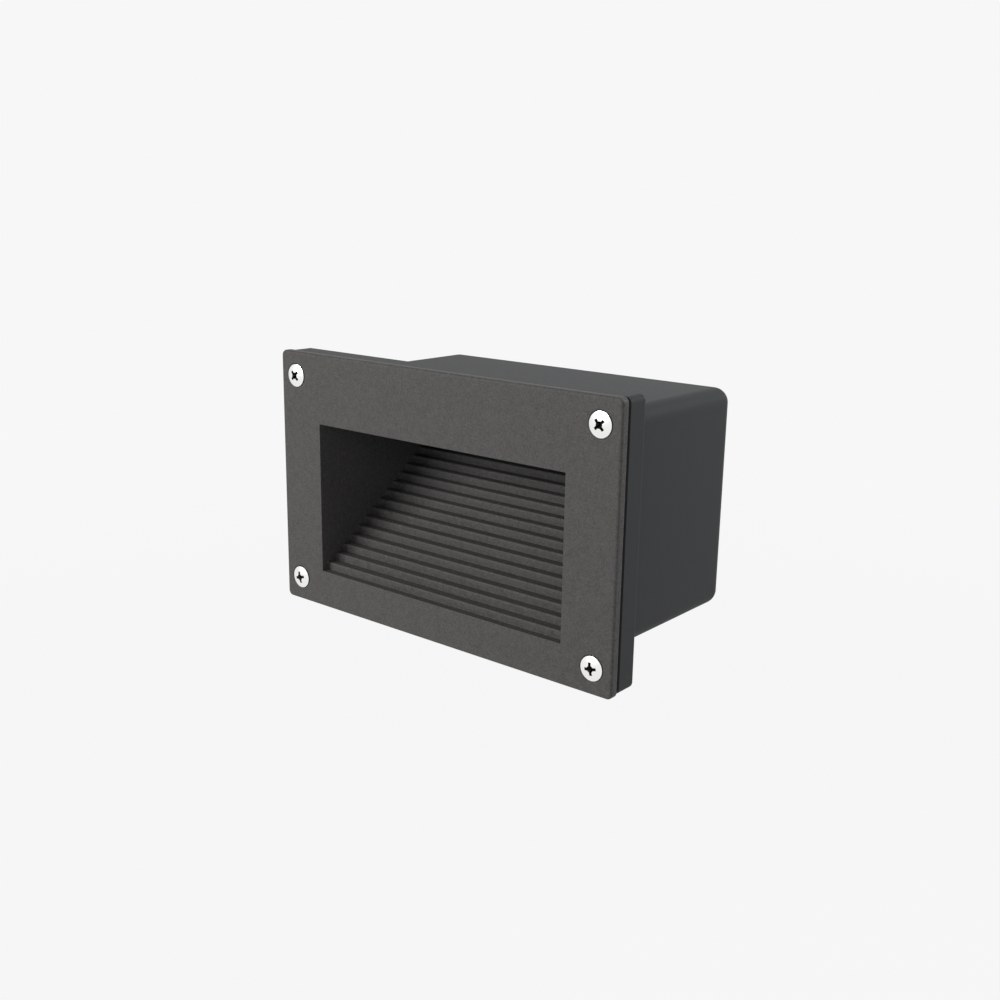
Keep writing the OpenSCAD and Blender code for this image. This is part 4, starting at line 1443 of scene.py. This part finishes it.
@dataclass
class Wiring(SubAssembly):
    """The leads inside the light and the earth point.

    Attributes:
        led_r: Radius of a lead to the light board.
        supply_r: Radius of a supply lead.
        earth_screw: The form of the earth screw.
        earth_place: Where its head is seated.
        grommet_z: Height of the leads in the grommet.
        roof_z: Height of the leads on the hood's roof.
        hood_rear: Where the leads run down behind the hood.
        driver_z: Height at which they enter the driver.
        pole_z: Height of the bores of the terminal block's poles.
    """

    kept: dict[str, Slot] = field(default_factory=lambda: {"earth_tag": Slot.BRASS})
    led_r: float = 0.5
    supply_r: float = 0.75
    earth_screw: CrossScrew = field(
        default_factory=lambda: CrossScrew(
            Head.PAN, head_r=3.2, head_h=2.0, shank_r=1.75, length=4.8, pitch=0.6, recess_depth=1.2
        )
    )
    earth_place: Point = (48.7, 17.0, -21.448)
    grommet_z: float = 27.22
    roof_z: float = 23.9
    hood_rear: float = 50.8
    driver_z: float = -25.0
    pole_z: float = -26.2

    def build(self) -> None:
        """Finish the tag, then make the leads and the earth screw."""
        super().build()
        for side, slot, node in ((1, Slot.RED, "led_lead_positive"), (-1, Slot.BLACK, "led_lead_negative")):
            self.lead(node, self.led_route(side), self.led_r, slot)
        self.lead("lead_live", self.supply_route(0), self.supply_r, Slot.BROWN)
        self.lead("lead_neutral", self.supply_route(1), self.supply_r, Slot.BLUE)
        self.lead("lead_earth", self.earth_route(), self.supply_r, Slot.GREEN)
        screw = self.earth_screw.mesh(at(*self.earth_place, -90, "Y"), turn=38)
        self.add("earth_screw_turned", screw, Slot.BRASS, ["earth_screw"])

    def led_route(self, side: int) -> list[Point]:
        """Lay out a lead from the light board to the driver.

        Args:
            side: 1 for the positive lead, -1 for the negative one.

        Returns:
            Points of its route, in millimetres.
        """
        x = -30 + 0.75 * side
        loop = -42 + 1.5 * side
        end = 41 + 4 * side
        grommet, roof, rear, low = self.grommet_z, self.roof_z, self.hood_rear, self.driver_z
        return [
            (x, 19, grommet), (x, 22, grommet), (x, 26, grommet), (x, 27, grommet), (x - 1, 29.3, roof),
            (x - 1, 47.8, roof), (x - 1, rear, 20.5), (loop, rear, 0), (loop, 49, -18.41),
            (-40, end, low), (-39, end, low), (-38, end, low),
        ]

    def supply_route(self, pole: int) -> list[Point]:
        """Return the route of a lead from a pole of the terminal block to the driver, in millimetres."""
        x, y, z = 30 + 6 * pole, 31 - 3 * pole, self.pole_z
        return [(x, 35, z), (x, y + 3, z), (x - 3, y, z), (26, y, z), (20, y, z)]

    def earth_route(self) -> list[Point]:
        """Return the route of the earth lead from its pole to the tag, in millimetres."""
        low, tag = self.pole_z, self.earth_place[2]
        return [(42, 35, low), (42, 33, low), (46.5, 25.5, low), (47.65, 23.4, tag), (47.65, 20.4, tag)]

    def lead(self, node: str, route: Sequence[Point], radius: float, slot: Slot) -> None:
        """Run one lead.

        Args:
            node: The node that it stands for.
            route: Its points, in millimetres.
            radius: Its radius, in millimetres.
            slot: Its colour's slot.
        """
        curve = bpy.data.curves.new(node, "CURVE")
        curve.dimensions = "3D"
        curve.bevel_depth = radius * MM
        curve.bevel_resolution = 3
        curve.resolution_u = 4
        curve.use_fill_caps = True
        points = [Vector(p) * MM for p in smooth_route(route, cuts=6)]
        spline = curve.splines.new("POLY")
        spline.points.add(len(points) - 1)
        for knot, place in zip(spline.points, points):
            knot.co = (*place, 1)
        holder = in_scene("run", curve)
        bpy.context.view_layer.update()
        mesh = worked_out(holder)
        bpy.data.objects.remove(holder)
        bpy.data.curves.remove(curve)
        self.add(f"{node}_insulated", closed(mesh), slot, [node])


def smooth_route(route: Sequence[Point], cuts: int) -> list[Vector]:
    """Round a route off with a curve through its points.

    Args:
        route: The route's points.
        cuts: Pieces that each stretch is cut into.

    Returns:
        Points along the smooth curve.
    """
    knots = [Vector(p) for p in (route[0], *route, route[-1])]
    path = []
    for a, b, c, d in zip(knots, knots[1:], knots[2:], knots[3:]):
        for k in range(cuts):
            t = k / cuts
            square = 2 * a - 5 * b + 4 * c - d
            cube = 3 * b - a - 3 * c + d
            path.append((2 * b + (c - a) * t + square * t**2 + cube * t**3) / 2)
    return [*path, knots[-1]]


@dataclass
class CableGland(SubAssembly):
    """The nylon gland that seals the supply cable in the box's rear wall.

    Attributes:
        x: Place of its axis across.
        z: Height of its axis.
        flats: Width across the flats of its hexagons.
        corner_r: Radius at their corners.
        chamfer_r: Radius at which their rear chamfer ends.
        chamfer: Its height.
        hex_front: Where the body's hexagon starts.
        hex_rear: Where it ends.
        thread_r: Radius of the tail's thread.
        thread_depth: Depth of that thread.
        neck_r: Radius of the neck's thread.
        neck_core_r: Radius of its core.
        pitch: Pitch of both threads.
        tip: Chamfer of the threaded ends, as width and height.
        run_out: Plain length at a thread's free end, at the tail's hexagon and at the neck's.
        bore_r: Radius of the cable's bore.
        seal_bore_r: Radius of the seal's seat.
        seal_sink: Depth of that seat in the hexagon.
        nut_gap: Gap between the tail's thread and the locknut.
        nut_bore_r: Radius of the clamping nut's bore.
        nut_front_r: Radius of its front face.
        nut_edge: Height of its front chamfer.
        waist: Length of its hexagon.
        waist_edge: Length of the slope from there down to its dome.
        dome: Radius of the dome's edge.
        mouth_r: Radius of the hole in the dome.
        nut_room: Depth of its bore.
        facets: Facets round the blank of a hexagon.
        overrun: How far the milling cutter stands out.
    """

    body: Body = Body.BACK_BOX
    kept: dict[str, Slot] = field(
        default_factory=lambda: {"gland_washer": Slot.RUBBER, "gland_seal": Slot.RUBBER}
    )
    x: float = 30.0
    z: float = 2.0
    flats: float = 20.0
    corner_r: float = 11.6
    chamfer_r: float = 10.2
    chamfer: float = 0.9
    hex_front: float = 68.5
    hex_rear: float = 73.5
    thread_r: float = 8.0
    thread_depth: float = 0.7
    neck_r: float = 7.4
    neck_core_r: float = 6.9
    pitch: float = 1.5
    tip: tuple[float, float] = (0.4, 0.5)
    run_out: tuple[float, float, float] = (0.8, 1.2, 0.9)
    bore_r: float = 3.8
    seal_bore_r: float = 6.0
    seal_sink: float = 1.0
    nut_gap: float = 0.08
    nut_bore_r: float = 7.48
    nut_front_r: float = 10.6
    nut_edge: float = 0.7
    waist: float = 7.0
    waist_edge: float = 0.8
    dome: float = 4.0
    mouth_r: float = 4.2
    nut_room: float = 8.0
    facets: int = 72
    overrun: float = 1.0

    def placed(self, mesh: Mesh) -> Mesh:
        """Turn a piece made along Z onto the gland's axis, which runs along Y; returns the same mesh."""
        bmesh.ops.transform(mesh, matrix=at(self.x, 0, self.z, -90), verts=mesh.verts)
        return mesh

    def build(self) -> None:
        """Finish the washer and the seal, then make body, locknut and nut."""
        super().build()
        self.add("gland_body_threaded", self.placed(self.gland_body()), Slot.NYLON, ["gland_body"])
        low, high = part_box("gland_locknut")
        front, rear, bore = low.y / MM, high.y / MM, self.thread_r + self.nut_gap
        nut = self.hexagon([
            (bore, front), (self.corner_r, front), (self.corner_r, rear - self.chamfer),
            (self.chamfer_r, rear), (bore, rear),
        ])
        self.add("gland_locknut_chamfered", self.placed(nut), Slot.NYLON, ["gland_locknut"])
        dome = self.placed(self.nut())
        self.add("gland_nut_domed", dome, Slot.NYLON, ["gland_nut"], Body.GLAND_NUT)

    def hexagon(self, outline: Profile) -> Mesh:
        """Mill a turned ring to a hexagon, which leaves its turned chamfers at the corners.

        Args:
            outline: The ring's outline as (radius, height), in millimetres.

        Returns:
            The milled ring, in metres.
        """
        heights = [z for _, z in outline]
        blank = turned(outline, segments=self.facets, ring=True)
        bar = prism(6, self.flats, min(heights) - self.overrun, max(heights) + self.overrun)
        milled = combined(blank, bar, "INTERSECT")
        for face in milled.faces:
            face.material_index = 0
        return milled

    def gland_body(self) -> Mesh:
        """Make the body along Z.

        Returns:
            Threaded tail, hexagon and threaded neck round a stepped bore.
        """
        low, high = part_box("gland_body")
        front, rear = low.y / MM, high.y / MM
        hex_front, hex_rear, seal_front = self.hex_front, self.hex_rear, self.hex_rear - self.seal_sink
        bore, seat = self.bore_r, self.seal_bore_r
        core, neck_core = self.thread_r - self.thread_depth, self.neck_core_r
        narrow, short = self.tip
        free, at_tail, at_neck = self.run_out
        tail = turned([
            (bore, front), (core - narrow, front), (core, front + short), (core, hex_front),
            (bore, hex_front),
        ], ring=True)
        flange = self.hexagon([
            (bore, hex_front), (self.corner_r, hex_front), (self.corner_r, hex_rear - self.chamfer),
            (self.chamfer_r, hex_rear), (seat, hex_rear), (seat, seal_front), (bore, seal_front),
        ])
        neck = turned([
            (seat, hex_rear), (neck_core, hex_rear), (neck_core, rear - short), (neck_core - narrow, rear),
            (seat, rear),
        ], ring=True)
        tail_thread = thread(core, self.thread_r, front + free, hex_front - at_tail, self.pitch)
        neck_thread = thread(neck_core, self.neck_r, hex_rear + at_neck, rear - free, self.pitch)
        return joined(tail, flange, neck, tail_thread, neck_thread)

    def nut(self) -> Mesh:
        """Make the clamping nut along Z.

        Returns:
            A hexagon with a domed end and a bore.
        """
        low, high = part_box("gland_nut")
        front, rear = low.y / MM, high.y / MM
        waist, room, half = front + self.waist, front + self.nut_room, self.flats / 2
        bore, corner, mouth, dome = self.nut_bore_r, self.corner_r, self.mouth_r, self.dome
        crown = [(half - dome + dome * math.cos(a), rear - dome + dome * math.sin(a)) for a in quarter_turn()]
        return self.hexagon([
            (bore, front), (self.nut_front_r, front), (corner, front + self.nut_edge),
            (corner, waist - self.waist_edge), (half, waist), *crown, (mouth, rear), (mouth, room),
            (bore, room),
        ])


@dataclass(frozen=True)
class Lamp:
    """One soft rectangular lamp.

    Attributes:
        name: Its name.
        place: Where it hangs, in metres.
        size: Width and height of its face, in metres.
        watts: Its power.
    """

    name: str
    place: Point
    size: tuple[float, float]
    watts: float

    def hang(self) -> None:
        """Hang the lamp so that it faces the light; the camera doesn't see it."""
        data = bpy.data.lights.new(self.name, "AREA")
        data.shape = "RECTANGLE"
        data.size, data.size_y = self.size
        data.energy = self.watts
        lamp = in_scene(self.name, data)
        facing = Vector(self.place).to_track_quat("Z", "Y").to_matrix().to_4x4()
        lamp.matrix_world = Matrix.Translation(self.place) @ facing
        lamp.visible_camera = False


@dataclass
class Studio:
    """Camera, lamps, floor and pale surround.

    Attributes:
        lens: Focal length in millimetres.
        eye: Place of the camera, in metres.
        azimuth: Heading of the camera in degrees; 0 looks along +Y.
        elevation: Its height above the horizon in degrees.
        roll: Its roll in degrees.
        white: sRGB hex of floor and surround.
        paper: sRGB hex of the floor where it takes light and shadow.
        fill: Strength of the soft light from all round.
        floor_z: Height of the floor, in metres.
        floor_half: Half the floor's width, in metres.
        shadow_share: How much of the floor's own shading shows close to the light.
        shadow_reach: Where that starts and ends to fade, in metres from the origin.
        lamps: The lamps, the strongest first.
    """

    lens: float = 42.897
    eye: Point = (0.246185, -0.277058, 0.096851)
    azimuth: float = 39.508
    elevation: float = 14.458
    roll: float = 0.950
    white: str = "#f7f7f7"
    paper: str = "#e4e4e4"
    fill: float = 0.12
    floor_z: float = -0.2
    floor_half: float = 40.0
    shadow_share: float = 0.025
    shadow_reach: tuple[float, float] = (0.3, 1.0)
    lamps: tuple[Lamp, ...] = (
        Lamp("key", (-0.39, -0.80, 0.31), (0.5, 0.25), 7.5),
        Lamp("front_right", (0.9, -0.9, 0.3), (0.7, 0.7), 2.5),
        Lamp("right", (0.28, 0.28, 0.24), (0.2, 0.2), 1.0),
        Lamp("top", (0.25, 0.20, 0.55), (0.3, 0.3), 0.9),
    )

    def build(self) -> None:
        """Set the whole studio up."""
        self.camera()
        self.surround()
        self.floor()
        for lamp in self.lamps:
            lamp.hang()
        bpy.context.scene.view_settings.view_transform = "Standard"

    def camera(self) -> None:
        """Place the camera at the photograph's viewing angle."""
        data = bpy.data.cameras.new("camera")
        data.lens = self.lens
        data.sensor_width = 36.0
        data.clip_start = 0.01
        camera = in_scene("camera", data)
        turn = (
            Matrix.Rotation(math.radians(self.azimuth), 4, "Z")
            @ Matrix.Rotation(math.radians(90 - self.elevation), 4, "X")
            @ Matrix.Rotation(math.radians(self.roll), 4, "Z")
        )
        camera.matrix_world = Matrix.Translation(self.eye) @ turn
        bpy.context.scene.camera = camera

    def seen(self, tree: Tree) -> Socket:
        """Return a socket that is 1 for rays that see the surround.

        Those come from the camera, off gloss and through glass.

        Args:
            tree: The node tree that gets the nodes.

        Returns:
            The socket, which is 0 for the rays that only light the scene.
        """
        rays = add_node(tree, "LightPath").outputs
        seen = rays["Is Camera Ray"]
        for kind in ("Is Glossy Ray", "Is Transmission Ray"):
            seen = add_node(tree, "Math", {0: seen, 1: rays[kind]}, operation="MAXIMUM").outputs[0]
        return seen

    def surround(self) -> None:
        """Light the scene softly from all round, and show white to the camera, to gloss and through glass."""
        world = bpy.data.worlds.new("surround")
        bpy.context.scene.world = world
        tree = bare_tree(world)
        seen = self.seen(tree)
        fill = add_node(tree, "Background", {"Color": linear(self.white), "Strength": self.fill})
        shown = add_node(tree, "Background", {"Color": linear(self.white), "Strength": 1.0})
        mix = add_node(
            tree, "MixShader", {0: seen, 1: fill.outputs["Background"], 2: shown.outputs["Background"]}
        )
        add_node(tree, "OutputWorld", {"Surface": mix.outputs["Shader"]})

    def floor(self) -> None:
        """Lay the pale floor, which keeps a soft shadow of the light."""
        mesh = bmesh.new()
        bmesh.ops.create_grid(mesh, x_segments=1, y_segments=1, size=self.floor_half)
        bmesh.ops.translate(mesh, vec=(0, 0, self.floor_z), verts=mesh.verts)
        data = bpy.data.meshes.new("floor")
        mesh.to_mesh(data)
        mesh.free()
        floor = in_scene("floor", data)
        material = bpy.data.materials.new("matt_paper")
        tree = bare_tree(material)
        place = add_node(tree, "TexCoord").outputs["Object"]
        away = add_node(tree, "VectorMath", {0: place}, operation="LENGTH")
        near, far = self.shadow_reach
        cover = add_node(
            tree,
            "MapRange",
            {
                "Value": away.outputs["Value"],
                "From Min": near,
                "From Max": far,
                "To Min": 1 - self.shadow_share,
                "To Max": 1.0,
            },
            interpolation_type="SMOOTHSTEP",
        )
        share = add_node(tree, "Math", {0: self.seen(tree), 1: cover.outputs["Result"]}, operation="MULTIPLY")
        paper = add_node(tree, "BsdfDiffuse", {"Color": linear(self.paper)})
        shown = add_node(tree, "Emission", {"Color": linear(self.white), "Strength": 1.0})
        mix = add_node(
            tree,
            "MixShader",
            {0: share.outputs["Value"], 1: paper.outputs["BSDF"], 2: shown.outputs["Emission"]},
        )
        add_node(tree, "OutputMaterial", {"Surface": mix.outputs["Shader"]})
        data.materials.append(material)


def main() -> None:
    """Build the step light and the studio round it."""
    logging.basicConfig(level=logging.INFO, format="%(name)s: %(message)s")
    shop = PaintShop()
    housing = {"face_casting": Slot.CASTING, "face_gasket": Slot.RUBBER, "screw_seals": Slot.RUBBER}
    assemblies = (
        SubAssembly(shop, Body.BACK_BOX, {"back_box": Slot.BOX}),
        SubAssembly(shop, Body.FRONT_UNIT, housing),
        FaceScrews(shop),
        LightEngine(shop),
        DriverTray(shop),
        Terminals(shop),
        Wiring(shop),
        CableGland(shop),
    )
    for assembly in assemblies:
        assembly.build()
    Studio().build()


if __name__ == "__main__":
    main()
